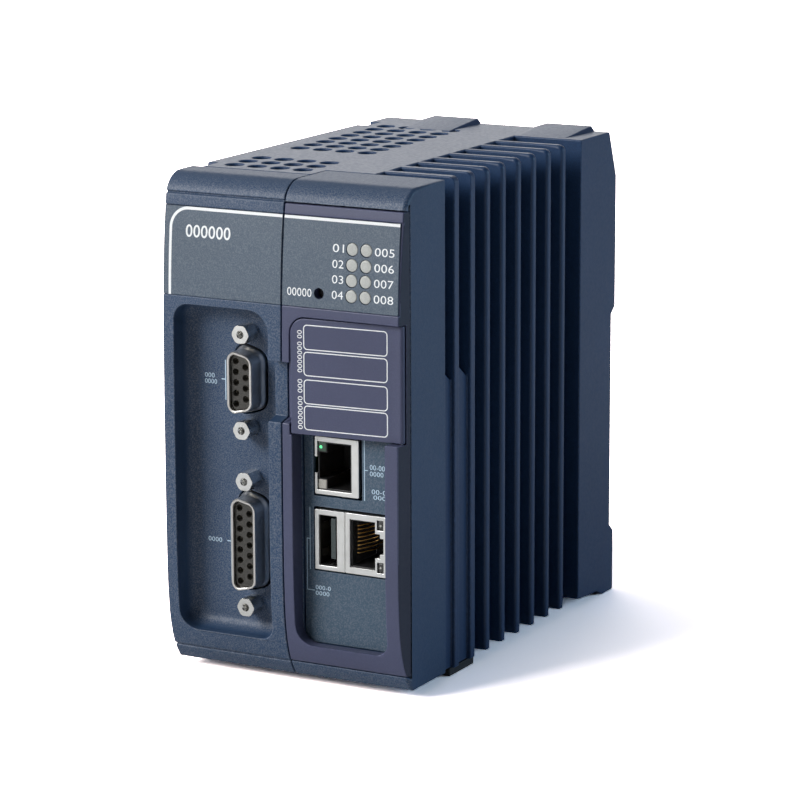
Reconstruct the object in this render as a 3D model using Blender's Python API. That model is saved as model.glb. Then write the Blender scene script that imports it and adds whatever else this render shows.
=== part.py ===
"""Double-width controller module for a rack, as separate pieces.

Lengths are in millimetres, measured from the left side (x), from the most proud
point of the front (y, towards the rear) and from the underside of the housing
(z, up). world() turns them into metres around the middle of the footprint.
"""
import math

import bmesh
import bpy
from mathutils import Matrix, Vector

# Driving dimensions, in millimetres.
WIDTH = 69.4             # two rack slots of 35 less clearance
HEIGHT = 128.5           # underside to top plate
DEPTH = 125.8            # most proud point of the front to the rear face
FOOT = 2.4               # how far the lugs reach below the underside
HOOK = 1.4               # how far the rack hooks stand above the top plate
SEAM = 35.0              # line between the two front halves
GAP = 0.3                # clearance between neighbouring pieces
WALL = 2.0               # moulded and cast walls

LEFT_BEZEL_REAR = 15.9
RIGHT_BEZEL_REAR = 23.7
FRAME_REAR = 5.0
FRAME_Z = (4.3, 123.1)
LABEL_Z = (97.6, 120.3)
LABEL_SINK = 0.65
LABEL_THICK = 0.35

RECESS = (3.25, 31.05, 9.2, 95.3)      # left recess: x0, x1, z0, z1
RECESS_FLOOR = 7.5
WINDOW = (38.0, 64.55, 9.3)            # port window: x0, x1, z0
PANEL_FRONT = 5.7
DOOR = (37.6, 64.8, 94.6)              # address door: x of its free edge, z0, z1
DOOR_FACE = [(37.6, 0.35), (64.6, 2.25)]     # front of the door, leaning back to the right
DOOR_BACK = [(66.4, 3.35), (64.0, 3.3), (37.6, 1.6)]
DOOR_AXIS = (67.7, 3.2)
DOOR_BARREL = 0.98
DOOR_PIN = 0.38
DOOR_SEAT = 3.65                       # floor of the frame behind the door
SCOOP_Z = (67.3, 83.0)
SCOOP_FLOOR = 3.7

FIN_COUNT = 8
FIN_FIRST = 30.1
FIN_PITCH = 8.93
FIN_THICK = 2.6
FIN_ROOT = 49.3
HEAT_WALL = 3.0
SLOTS_FRONT = 24.0
SLOTS_REAR = 103.0
LEDGE_TOP = 80.5
LEDGE_SLOPE = 0.75
LEDGE_FACE = 68.2

VENT_X = [8.9 + 6.78 * i for i in range(4)]
VENT_Y = [22.2 + 6.82 * i for i in range(3)] + [56.1 + 6.82 * i for i in range(8)]
VENT_DIAMETER = 4.9

LAMP_X = (55.0, 58.95)
LAMP_Z = (101.3, 105.2, 109.05, 113.0)
LAMP_DIAMETER = 3.2
RESET_XZ = (45.8, 101.3)
SWITCH_X = 47.5
SWITCH_Z = {"run_stop": 87.0, "storage": 74.0}

SERIAL = {                             # x, z, length of the long side, positions, screw spacing
    "9": (22.0, 75.9, 16.33, 9, 24.99),
    "15": (22.45, 33.4, 24.66, 15, 33.32),
}
SERIAL_WIDE = 7.9
SERIAL_FRONT = 1.5
CONTACT_PITCH = 2.77
ROW_PITCH = 2.84

UPPER_JACK = (41.6, 54.35, 48.6, 63.65)     # x0, x1, z0, z1
LOWER_JACK = (41.45, 62.4, 28.8, 44.6)
JACK_FRONT = 5.2

SERIAL_BOARD_X = (30.0, 31.6)
CPU_BOARD_X = (38.6, 40.2)
STACK_YZ = [(44.5, 12.0), (44.5, 114.0), (99.0, 12.0), (99.0, 114.0)]

NAVY = (0.055, 0.085, 0.150)
PURPLE = (0.095, 0.095, 0.190)


# Helpers.

def world(x, y, z):
    """Millimetres in the module's own measure to metres in the world."""
    return Vector(((x - WIDTH / 2) * 0.001, (y - DEPTH / 2) * 0.001, (z + FOOT) * 0.001))


def front_y(z):
    """Depth of the curved front at height z: a soft chin, a long bulge and a round cap."""
    below_top = HEIGHT - z
    cap = 1.0 - below_top / 5.0
    cap_depth = 5.9 * (1.0 - math.sqrt(max(0.0, 1.0 - cap * cap))) if cap > 0 else 0.0
    return 5.9 * math.exp(-z / 7.3) + 3.9 * math.exp(-below_top / 17.0) + cap_depth - 0.04


def front_heights(z0, z1):
    """Heights at which the front curve is followed, closer together where it bends."""
    marks = [0.0, 2.0, 4.2, 7.0, 11.0, 17.0, 26.0, 42.0, 64.0, 84.0, 98.0, 108.0, 116.0, 121.0,
             123.5, 125.2, 126.6, 127.6, 128.2, HEIGHT]
    return [z0] + [z for z in marks if z0 + 0.2 < z < z1 - 0.2] + [z1]


def arc(cx, cy, radius, start, end, steps):
    """Points on an arc, angles in degrees."""
    points = []
    for i in range(steps + 1):
        angle = math.radians(start + (end - start) * i / steps)
        points.append((cx + radius * math.cos(angle), cy + radius * math.sin(angle)))
    return points


def rounded(x0, x1, z0, z1, radii, steps=4):
    """Rounded rectangle; radii run lower left, lower right, upper right, upper left."""
    a, b, c, d = radii
    return (arc(x0 + a, z0 + a, a, 180, 270, steps) + arc(x1 - b, z0 + b, b, 270, 360, steps)
            + arc(x1 - c, z1 - c, c, 0, 90, steps) + arc(x0 + d, z1 - d, d, 90, 180, steps))


def serial_outline(x, z, length, grow=0.0):
    """Outline of a D-shaped shell standing on end: the long side is on the left."""
    wide = SERIAL_WIDE / 2 + grow
    half = length / 2 + grow
    slant = 2 * wide * math.tan(math.radians(10))
    r = 2.0 + grow
    left, right = x - wide, x + wide
    return (arc(left + r, z - half + r, r, 180, 260, 3) + arc(right - r, z - half + slant + r, r, 280, 360, 3)
            + arc(right - r, z + half - slant - r, r, 0, 80, 3) + arc(left + r, z + half - r, r, 100, 180, 3))


def new_object(name, bm, material=None):
    """A mesh object from a bmesh, with outward faces and its material."""
    bmesh.ops.remove_doubles(bm, verts=bm.verts, dist=1e-7)
    bmesh.ops.recalc_face_normals(bm, faces=bm.faces)
    mesh = bpy.data.meshes.new(name)
    bm.to_mesh(mesh)
    bm.free()
    if material:
        mesh.materials.append(material)
    obj = bpy.data.objects.new(name, mesh)
    bpy.context.scene.collection.objects.link(obj)
    return obj


def add_prism(bm, outline, axis, start, end):
    """Extrude an outline along one axis. Outlines are (y, z), (x, z) or (x, y)."""
    def place(point, along):
        u, v = point
        return {"x": world(along, u, v), "y": world(u, along, v), "z": world(u, v, along)}[axis]
    clean = [p for i, p in enumerate(outline) if math.dist(p, outline[i - 1]) > 1e-5]
    first = [bm.verts.new(place(p, start)) for p in clean]
    last = [bm.verts.new(place(p, end)) for p in clean]
    bm.faces.new(first)
    bm.faces.new(reversed(last))
    for i in range(len(clean)):
        j = (i + 1) % len(clean)
        bm.faces.new((first[i], last[i], last[j], first[j]))


def add_box(bm, x0, x1, y0, y1, z0, z1):
    add_prism(bm, [(x0, y0), (x1, y0), (x1, y1), (x0, y1)], "z", z0, z1)


def add_rod(bm, cu, cv, radius, axis, start, end, sides=12, turn=0.0):
    add_prism(bm, arc(cu, cv, radius, turn, turn + 360 - 360 / sides, sides - 1), axis, start, end)


def solid(name, material, build):
    """One object from a function that fills a bmesh."""
    bm = bmesh.new()
    build(bm)
    return new_object(name, bm, material)


def boolean(obj, operation, build):
    """Join or cut obj with the bodies that build() makes."""
    tool = solid("tool_%03d" % len(bpy.data.objects), None, build)
    tool.hide_render = True
    tool.display_type = "WIRE"
    modifier = obj.modifiers.new(operation.lower(), "BOOLEAN")
    modifier.operation = operation
    modifier.solver = "EXACT"
    modifier.object = tool
    return obj


def cut(obj, build):
    return boolean(obj, "DIFFERENCE", build)


def join(obj, build):
    return boolean(obj, "UNION", build)


def set_origin(obj, x, y, z):
    """Move the object's origin onto its joint axis without moving its mesh."""
    point = world(x, y, z)
    obj.data.transform(Matrix.Translation(-point))
    obj.location = point


def smooth(obj, degrees=35):
    obj.data.shade_smooth()
    obj.data.set_sharp_from_angle(angle=math.radians(degrees))


def finish(name, colour, roughness, metallic=0.0):
    material = bpy.data.materials.new(name)
    material.use_nodes = True
    shader = material.node_tree.nodes["Principled BSDF"]
    shader.inputs["Base Color"].default_value = (*colour, 1.0)
    shader.inputs["Roughness"].default_value = roughness
    shader.inputs["Metallic"].default_value = metallic
    material.diffuse_color = (*colour, 1.0)
    return material


def curve_band(z0, z1, near, far):
    """Outline in (y, z) between the front curve moved by near and by far."""
    heights = front_heights(z0, z1)
    return ([(front_y(z) + near, z) for z in heights]
            + [(front_y(z) + far, z) for z in reversed(heights)])


# The two front mouldings.

def left_bezel():
    outline = [(front_y(z), z) for z in front_heights(0.0, HEIGHT)]
    outline += [(LEFT_BEZEL_REAR, HEIGHT), (LEFT_BEZEL_REAR, 0.0)]
    bezel = solid("left_bezel", finish("left_bezel", NAVY, 0.6),
                  lambda bm: add_prism(bm, outline, "x", 0.0, SEAM - 0.15))

    cut(bezel, lambda bm: add_box(bm, WALL, 32.8, 9.3, 17, 2.2, 126.2))
    cut(bezel, lambda bm: add_box(bm, WALL, 32.8, 4.2, 10, 99.5, 120))
    cut(bezel, lambda bm: add_prism(bm, rounded(*RECESS, (5, 4, 6, 4)), "y", -3, RECESS_FLOOR))
    cut(bezel, lambda bm: add_box(bm, 30.5, SEAM + 1, -3, SCOOP_FLOOR, *SCOOP_Z))

    def openings(bm):
        for x, z, length, _, spacing in SERIAL.values():
            add_prism(bm, serial_outline(x, z, length, 1.3), "y", 6, 11)
            for side in (-1, 1):
                add_rod(bm, x, z + side * spacing / 2, 1.9, "y", 6, 11, 10)
    cut(bezel, openings)

    def lines(bm):
        add_prism(bm, curve_band(LABEL_Z[0] - 0.15, LABEL_Z[1] + 0.15, -2, LABEL_SINK), "x", -1, SEAM + 1)
        add_prism(bm, curve_band(123.35, 123.85, -2, 0.6), "x", -1, SEAM + 1)
        add_prism(bm, curve_band(3.75, 4.2, -2, 0.6), "x", -1, SEAM + 1)
    cut(bezel, lines)


def right_bezel():
    outline = [(front_y(z), z) for z in front_heights(0.0, HEIGHT)]
    outline += [(RIGHT_BEZEL_REAR, HEIGHT), (RIGHT_BEZEL_REAR, 0.0)]
    bezel = solid("right_bezel", finish("right_bezel", NAVY, 0.6),
                  lambda bm: add_prism(bm, outline, "x", SEAM + 0.15, WIDTH))
    cut(bezel, lambda bm: add_box(bm, SEAM - 1, WIDTH + 1, -3, FRAME_REAR + GAP, 4.0, 123.5))
    cut(bezel, lambda bm: add_box(bm, 36.9, WIDTH - WALL, 7.3, RIGHT_BEZEL_REAR - 1.5, 2.2, 126.2))
    cut(bezel, lambda bm: add_box(bm, 36.9, WIDTH - WALL, 12, 25, 2.2, 74.0))
    cut(bezel, lambda bm: add_box(bm, 36.9, 46.3, 12, 25, 70.0, 126.2))
    cut(bezel, lambda bm: add_box(bm, 38.0, 66.0, 5, 8, 9.0, 121.0))


def labels():
    left = solid("left_label", finish("left_label", (0.12, 0.16, 0.22), 0.55), lambda bm: add_prism(
        bm, curve_band(*LABEL_Z, LABEL_SINK - GAP - LABEL_THICK, LABEL_SINK - GAP), "x", 0.1, SEAM - 0.25))
    smooth(left)
    right = solid("right_label", finish("right_label", (0.12, 0.16, 0.22), 0.55), lambda bm: add_prism(
        bm, curve_band(*LABEL_Z, LABEL_SINK - GAP - LABEL_THICK, LABEL_SINK - GAP), "x", SEAM + 0.25, 68.0))

    def holes(bm):
        for x in LAMP_X:
            for z in LAMP_Z:
                add_rod(bm, x, z, LAMP_DIAMETER / 2 + 0.25, "y", -1, 6)
        add_rod(bm, *RESET_XZ, 1.4, "y", -1, 6)
    cut(right, holes)


def port_frame():
    heights = front_heights(*FRAME_Z)
    outline = [(front_y(z), z) for z in heights] + [(FRAME_REAR, FRAME_Z[1]), (FRAME_REAR, FRAME_Z[0])]
    frame = solid("port_frame", finish("port_frame", PURPLE, 0.5),
                  lambda bm: add_prism(bm, outline, "x", SEAM + 0.15, 69.3))
    corner = [(68.1, -1.0), (69.35, 5.3), (71, 5.3), (71, -3), (68.1, -3)]
    cut(frame, lambda bm: add_prism(bm, corner, "z", -1, 130))
    x0, x1, z0 = WINDOW
    cut(frame, lambda bm: add_prism(bm, rounded(x0, x1, z0, 94.9, (5, 4, 0.2, 0.2)), "y", -3, 7))

    cut(frame, lambda bm: add_box(bm, 37.3, 71, -3, DOOR_SEAT, DOOR[1] - GAP, DOOR[2] + GAP))
    cut(frame, lambda bm: add_rod(
        bm, *DOOR_AXIS, DOOR_BARREL + 0.27, "z", DOOR[1] - GAP, DOOR[2] + GAP, 12, 15))
    cut(frame, lambda bm: add_box(bm, SEAM - 1, 37.7, -3, SCOOP_FLOOR, *SCOOP_Z))
    cut(frame, lambda bm: add_box(bm, 37.2, 66.4, 3.6, 6, 99.0, 117.5))

    def holes(bm):
        for x in LAMP_X:
            for z in LAMP_Z:
                add_rod(bm, x, z, LAMP_DIAMETER / 2 + 0.3, "y", -1, 6)
        add_rod(bm, *RESET_XZ, 1.5, "y", -1, 6)
        for z0 in (DOOR[1] - 2.2, DOOR[2] - 1.0):
            add_rod(bm, *DOOR_AXIS, DOOR_PIN + 0.3, "z", z0, z0 + 3.2, 8)
    cut(frame, holes)
    cut(frame, lambda bm: add_prism(
        bm, curve_band(LABEL_Z[0] - 0.15, LABEL_Z[1] + 0.15, -2, LABEL_SINK), "x", SEAM - 1, 70))


def port_panel():
    panel = solid("port_panel", finish("port_panel", (0.10, 0.14, 0.21), 0.6), lambda bm: add_box(
        bm, 38.3, 65.7, PANEL_FRONT, PANEL_FRONT + 1.3, 9.3, 95.5))

    def holes(bm):
        add_box(bm, UPPER_JACK[0] - 0.7, UPPER_JACK[1] + 0.7, 5, 8, UPPER_JACK[2] - 0.6, UPPER_JACK[3] + 0.7)
        add_box(bm, LOWER_JACK[0] - 0.6, LOWER_JACK[1] + 0.6, 5, 8, LOWER_JACK[2] - 0.6, LOWER_JACK[3] + 0.6)
        for z in SWITCH_Z.values():
            add_box(bm, SWITCH_X - 2.6, SWITCH_X + 2.6, 5, 8, z - 4.0, z + 4.0)
    cut(panel, holes)


# The address door and its pin.

def address_door():
    x0, z0, z1 = DOOR
    ax, ay = DOOR_AXIS
    outline = DOOR_FACE + arc(ax, ay, DOOR_BARREL, -100, 150, 10) + DOOR_BACK
    door = solid("address_door", finish("address_door", PURPLE, 0.45),
                 lambda bm: add_prism(bm, outline, "z", z0, z1))
    cut(door, lambda bm: add_rod(bm, ax, ay, DOOR_PIN + 0.28, "z", z0 - 1, z1 + 1, 8))
    r = 4.0
    corner = [(x0 - 1, z1 + 1), (x0 - 1, z1 - r)] + arc(x0 + r, z1 - r, r, 180, 90, 5) + [(x0 + r, z1 + 1)]
    cut(door, lambda bm: add_prism(bm, corner, "y", -2, 4))
    set_origin(door, ax, ay, (z0 + z1) / 2)
    smooth(door)
    pin = solid("door_hinge_pin", finish("door_hinge_pin", (0.6, 0.6, 0.62), 0.3, 1.0), lambda bm: add_rod(
        bm, ax, ay, DOOR_PIN, "z", z0 - 1.9, z1 + 1.9, 8))
    smooth(pin)


# The cast housing with its fins, and what closes it.

def finned_housing():
    outline = [(16.2, 0), (103, 0), (111, -0.6), (115.5, -0.6), (119, -FOOT), (DEPTH, -FOOT),
               (DEPTH, 15), (123.4, 17), (123.4, 77.3), (DEPTH, 79.2), (DEPTH, 116), (121.3, HEIGHT),
               (16.2, HEIGHT)]
    housing = solid("finned_housing", finish("finned_housing", NAVY, 0.5),
                    lambda bm: add_prism(bm, outline, "x", 0.0, WIDTH))

    def hooks(bm):
        for left in (0.0, SEAM):
            add_prism(bm, [(11.1 + left, HEIGHT - 1), (11.1 + left, HEIGHT), (15.4 + left, HEIGHT + HOOK),
                           (28.9 + left, HEIGHT + HOOK), (29.8 + left, HEIGHT + 0.2), (29.8 + left, HEIGHT - 1)],
                      "y", 114.0, 121.1)
    join(housing, hooks)
    ramp = [(113, HEIGHT + 0.02), (119.5, HEIGHT + HOOK), (119.5, 135), (113, 135)]
    cut(housing, lambda bm: add_prism(bm, ramp, "x", -1, WIDTH + 1))
    inner = FIN_ROOT - HEAT_WALL

    for box in ((SEAM, WIDTH + 1, 15, SLOTS_FRONT, -1, HEIGHT + 1), (-1, inner, 15, 110.7, 2.2, 126.3),
                (3.0, 66.4, 105.5, 119.5, 2.2, 126.3), (8.0, 61.5, 119, 127, 20.0, 110.0),
                (45.0, 66.6, 23, 36.9, 2.2, 73.0)):
        cut(housing, lambda bm, box=box: add_box(bm, *box))

    fins = [FIN_FIRST + FIN_PITCH * i for i in range(FIN_COUNT)]
    slot_starts = [SLOTS_FRONT - 1] + [y + FIN_THICK / 2 for y in fins]
    slot_ends = [y - FIN_THICK / 2 for y in fins] + [SLOTS_REAR]

    def slots(bm):
        for i, (y0, y1) in enumerate(zip(slot_starts, slot_ends)):
            if i < 2:
                ledge = LEDGE_TOP - LEDGE_SLOPE * (y1 - y0)
                add_prism(bm, [(y0, LEDGE_TOP), (y1, ledge), (y1, 140), (y0, 140)], "x", FIN_ROOT, 71)
            else:
                add_box(bm, FIN_ROOT, 71, y0, y1, -5, 140)
    cut(housing, slots)

    def shallow_slots(bm):
        for y0, y1 in zip(slot_starts[:2], slot_ends[:2]):
            add_box(bm, LEDGE_FACE, 71, y0, y1, -5, LEDGE_TOP + 5)
    cut(housing, shallow_slots)

    def vents(bm):
        for x in VENT_X:
            for y in VENT_Y:
                add_rod(bm, x, y, VENT_DIAMETER / 2, "z", 125, 130, 8, 22.5)
        for i in range(6):
            add_box(bm, 6 + 6.4 * i, 9 + 6.4 * i, 52, 82, -1, 3)
        add_box(bm, -1, 3, 16, 23.3, 127.7, 130)
        add_box(bm, -1, 3, 103.2, 110.7, 127.7, 130)
    cut(housing, vents)

    def bottom_openings(bm):
        add_box(bm, 9.5, 22.5, 29.7, 40.3, -1, 3)
        add_box(bm, 49.7, 64.3, 29.6, 36.1, -1, 3)
        add_box(bm, 25.7, 43.7, 88.0, 127, -4, 5.2)
    cut(housing, bottom_openings)

    def lever_ears(bm):
        add_box(bm, 23.0, 25.5, 89, 95, 1.5, 6.5)
        add_box(bm, 43.9, 46.8, 89, 95, 1.5, 6.5)
        for y, z in STACK_YZ:
            add_rod(bm, y, z, 3.0, "x", CPU_BOARD_X[1] + GAP, inner + 1, 8)
    join(housing, lever_ears)
    cut(housing, lambda bm: add_rod(bm, 92.0, 4.2, 1.2, "x", 24.0, 45.4, 8))


def side_cover():
    cover = solid("side_cover", finish("side_cover", NAVY, 0.6), lambda bm: add_box(
        bm, 0.0, 1.9, 16.5, 110.4, 2.5, 126.0))

    for radius, depth in ((1.7, 3.0), (3.1, 0.9)):
        def bore(bm, radius=radius, depth=depth):
            for y, z in STACK_YZ:
                add_rod(bm, y, z, radius, "x", -1, depth, 8)
        cut(cover, bore)


def rear_cover():
    cover = solid("rear_cover", finish("rear_cover", (0.03, 0.03, 0.035), 0.6), lambda bm: add_box(
        bm, 8.3, 61.2, 120.0, 121.8, 20.3, 109.7))

    def holes(bm):
        for x in (17.5, 52.5):
            add_box(bm, x - 5.3, x + 5.3, 119, 123, 27.7, 100.3)
    cut(cover, holes)
    for name, x in (("backplane_plug_left", 17.5), ("backplane_plug_right", 52.5)):
        plug = solid(name, finish(name, (0.02, 0.02, 0.02), 0.4), lambda bm, x=x: add_box(
            bm, x - 5.0, x + 5.0, 112.0, 125.3, 28.0, 100.0))
        cut(plug, lambda bm, x=x: add_box(bm, x - 3.2, x + 3.2, 117, 127, 30.0, 98.0))


def release_lever():
    outline = [(89.9, 4.2), (90.6, 1.0), (93.0, 0.4), (118, 0.4), (120.5, -1.6), (124.6, -1.9), (124.6, 2.1),
               (95.0, 2.1)] + arc(92.0, 4.2, 2.1, 20, 180, 5)
    lever = solid("release_lever", finish("release_lever", (0.03, 0.03, 0.035), 0.5),
                  lambda bm: add_prism(bm, outline, "x", 26.0, 43.4))
    cut(lever, lambda bm: add_rod(bm, 92.0, 4.2, 1.2, "x", 25, 45, 8))
    set_origin(lever, SEAM, 92.0, 4.2)
    pin = solid("release_lever_pin", finish("release_lever_pin", (0.6, 0.6, 0.62), 0.3, 1.0),
                lambda bm: add_rod(bm, 92.0, 4.2, 0.9, "x", 24.3, 45.1, 8))
    smooth(pin)
    leaf = [(119.2, 8.4), (119.2, 8.8), (103.9, 2.8), (100.0, 2.8), (100.0, 2.4), (104.0, 2.4)]
    solid("release_spring", finish("release_spring", (0.6, 0.6, 0.62), 0.3, 1.0),
          lambda bm: add_prism(bm, leaf, "x", 33.0, 37.0))


# Lugs and openings on the underside.

def battery_drawer():
    drawer = solid("battery_drawer", finish("battery_drawer", (0.03, 0.03, 0.035), 0.55),
                   lambda bm: add_box(bm, 7.0, 25.0, 28.5, 42.0, -FOOT, -GAP))
    join(drawer, lambda bm: add_box(bm, 9.9, 22.1, 30.0, 40.0, -1, 21.0))
    cut(drawer, lambda bm: add_prism(bm, arc(16.0, 11.0, 5.5, 0, 345, 23), "y", 33.0, 42))
    set_origin(drawer, 16.0, 35.0, 0.0)
    cell = solid("coin_cell", finish("coin_cell", (0.7, 0.7, 0.7), 0.25, 1.0),
                 lambda bm: add_rod(bm, 16.0, 11.0, 5.1, "y", 33.4, 36.6, 20))
    smooth(cell)
    cell.parent = drawer
    cell.matrix_parent_inverse = Matrix.Translation(-drawer.location)


def backup_socket():
    socket = solid("backup_socket", finish("backup_socket", (0.03, 0.03, 0.035), 0.55),
                   lambda bm: add_box(bm, 44.0, 68.0, 28.5, 42.0, -FOOT, -GAP))
    join(socket, lambda bm: add_box(bm, 50.0, 64.0, 29.9, 35.8, -1, 12.0))
    cut(socket, lambda bm: add_box(bm, 51.5, 62.5, 30.6, 35.1, -4, 9.0))


# Serial sockets with their jack screws.

def serial_socket(tag):
    x, z, length, positions, spacing = SERIAL[tag]
    shell = solid("serial_shell_" + tag, finish("serial_shell_" + tag, (0.30, 0.29, 0.28), 0.3, 1.0),
                  lambda bm: add_prism(bm, serial_outline(x, z, length), "y", SERIAL_FRONT, 10.0))
    join(shell, lambda bm: add_box(bm, x - 6.2, x + 6.2, 9.6, 10.6, z - spacing / 2 - 3, z + spacing / 2 + 3))
    cut(shell, lambda bm: add_prism(bm, serial_outline(x, z, length, -0.55), "y", -1, 12))

    def screw_holes(bm):
        for side in (-1, 1):
            add_rod(bm, x, z + side * spacing / 2, 1.7, "y", 9, 12, 8)
    cut(shell, screw_holes)
    insulator = solid("serial_insulator_" + tag, finish("serial_insulator_" + tag, (0.05, 0.045, 0.04), 0.5),
                      lambda bm: add_prism(bm, serial_outline(x, z, length, -0.85), "y", SERIAL_FRONT + 0.3, 18))

    def contact_holes(bm):
        long_row = (positions + 1) // 2
        for row, count, side in ((0, long_row, -1), (1, positions - long_row, 1)):
            for i in range(count):
                hole_z = z + (i - (count - 1) / 2) * CONTACT_PITCH
                add_rod(bm, x + side * ROW_PITCH / 2, hole_z, 0.65, "y", 0, 8, 6)
    cut(insulator, contact_holes)
    for side, place in ((-1, "lower"), (1, "upper")):
        screw_z = z + side * spacing / 2
        screw = solid("jack_screw_%s_%s" % (tag, place), finish("jack_screw", (0.75, 0.74, 0.72), 0.25, 1.0),
                      lambda bm, screw_z=screw_z: add_rod(bm, x, screw_z, 2.65, "y", 2.3, 7.2, 6, 30))
        join(screw, lambda bm, screw_z=screw_z: add_rod(bm, x, screw_z, 1.35, "y", 7, 13, 8))
        cut(screw, lambda bm, screw_z=screw_z: add_rod(bm, x, screw_z, 1.2, "y", 1, 6.3, 8))


# Network and USB sockets.

def comb(name, x0, x1, z, reach):
    """Eight sprung contacts on one carrier, at 1 mm pitch."""
    contacts = solid(name, finish(name, (0.75, 0.52, 0.20), 0.3, 1.0), lambda bm: add_box(
        bm, x0, x1, reach - 1.2, reach, z - 4.2, z + 4.2))

    def fingers(bm):
        for i in range(8):
            finger_z = z + (i - 3.5) * 1.0
            add_box(bm, x0, x1, 8.0, reach - 1, finger_z - 0.2, finger_z + 0.2)
    join(contacts, fingers)


def upper_jack():
    x0, x1, z0, z1 = UPPER_JACK
    middle = (z0 + z1) / 2
    shield = solid("upper_jack_shield", finish("upper_jack_shield", (0.75, 0.75, 0.74), 0.3, 1.0),
                   lambda bm: add_box(bm, x0, x1, JACK_FRONT, 26.0, z0, z1))
    cut(shield, lambda bm: add_box(bm, x0 + 0.7, x1 - 2.1, 4, 20.0, z0 + 1.2, z1 - 1.3))
    comb("upper_jack_contacts", x1 - 3.6, x1 - 3.1, middle, 19.5)
    for name, z_low, colour in (("upper_link_lens", z1 - 3.9, (0.10, 0.60, 0.20)),
                                ("upper_activity_lens", z0 + 1.5, (0.80, 0.80, 0.75))):
        solid(name, finish(name, colour, 0.2), lambda bm, z_low=z_low: add_box(
            bm, x0 + 1.0, x0 + 3.2, 6.0, 12.0, z_low, z_low + 2.3))


def lower_jack():
    x0, x1, z0, z1 = LOWER_JACK
    shield = solid("usb_network_shield", finish("usb_network_shield", (0.75, 0.75, 0.74), 0.3, 1.0),
                   lambda bm: add_box(bm, x0, x1, JACK_FRONT, 32.0, z0, z1))
    for box in ((42.65, 47.85, 4, 19.0, 30.0, 43.2), (51.65, 58.9, 4, 20.0, 30.5, 43.0),
                (58.8, 60.3, 4, 18.0, 33.7, 40.0), (60.2, 61.3, 4, 17.0, 34.8, 38.9),
                (59.3, 61.4, 4, 9.0, 41.0, 43.7), (59.3, 61.4, 4, 9.0, 29.9, 32.6)):
        cut(shield, lambda bm, box=box: add_box(bm, *box))
    solid("usb_tongue", finish("usb_tongue", (0.03, 0.03, 0.03), 0.4), lambda bm: add_box(
        bm, 45.6, 47.0, 6.2, 18.7, 31.7, 42.3))
    comb("lower_jack_contacts", 52.9, 53.4, 37.5, 19.5)
    for name, z_low in (("lower_link_lens", 41.3), ("lower_activity_lens", 30.2)):
        solid(name, finish(name, (0.15, 0.15, 0.14), 0.2), lambda bm, z_low=z_low: add_box(
            bm, 59.6, 61.1, 5.8, 8.7, z_low, z_low + 2.1))


# Controls behind the front.

def front_controls():
    board_y = 15.0
    solid("front_board", finish("front_board", (0.02, 0.12, 0.05), 0.5), lambda bm: add_box(
        bm, 41.5, 66.5, board_y, board_y + 1.6, 68.0, 121.0))
    pipes = solid("light_pipes", finish("light_pipes", (0.62, 0.62, 0.58), 0.25), lambda bm: add_box(
        bm, 52.8, 61.2, 12.6, 14.2, 99.0, 115.4))

    def rods(bm):
        for x in LAMP_X:
            for z in LAMP_Z:
                add_rod(bm, x, z, LAMP_DIAMETER / 2, "y", front_y(z) + 0.05, 13.0)
    join(pipes, rods)
    x, z = RESET_XZ
    solid("reset_switch", finish("reset_switch", (0.03, 0.03, 0.03), 0.5), lambda bm: add_box(
        bm, x - 3, x + 3, 11.4, 14.7, z - 3, z + 3))
    button = solid("reset_button", finish("reset_button", (0.02, 0.02, 0.025), 0.4),
                   lambda bm: add_rod(bm, x, z, 1.1, "y", 3.0, 10.4, 10))
    join(button, lambda bm: add_rod(bm, x, z, 2.2, "y", 9.2, 10.4, 10))
    set_origin(button, x, 10.4, z)
    for name, switch_z in SWITCH_Z.items():
        body = solid(name + "_switch", finish(name + "_switch", (0.03, 0.03, 0.03), 0.5),
                     lambda bm, switch_z=switch_z: add_box(bm, SWITCH_X - 3.4, SWITCH_X + 3.4, 7.6, 14.7,
                                                           switch_z - 5.2, switch_z + 5.2))
        cut(body, lambda bm, switch_z=switch_z: add_box(bm, SWITCH_X - 1.7, SWITCH_X + 1.7, 7, 12.6,
                                                        switch_z - 3.0, switch_z + 3.0))
        pivot_y = 9.6
        side = [(3.0, switch_z + 1.0), (3.0, switch_z - 1.0), (7.6, switch_z - 1.3)]
        side += arc(pivot_y, switch_z, 1.7, 230, 490, 8) + [(7.6, switch_z + 1.3)]
        lever = solid(name + "_lever", finish(name + "_lever", (0.72, 0.72, 0.70), 0.4),
                      lambda bm, side=side: add_prism(bm, side, "x", SWITCH_X - 1.3, SWITCH_X + 1.3))
        set_origin(lever, SWITCH_X, pivot_y, switch_z)


# Boards, their stack, and the processor against the finned wall.

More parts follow.
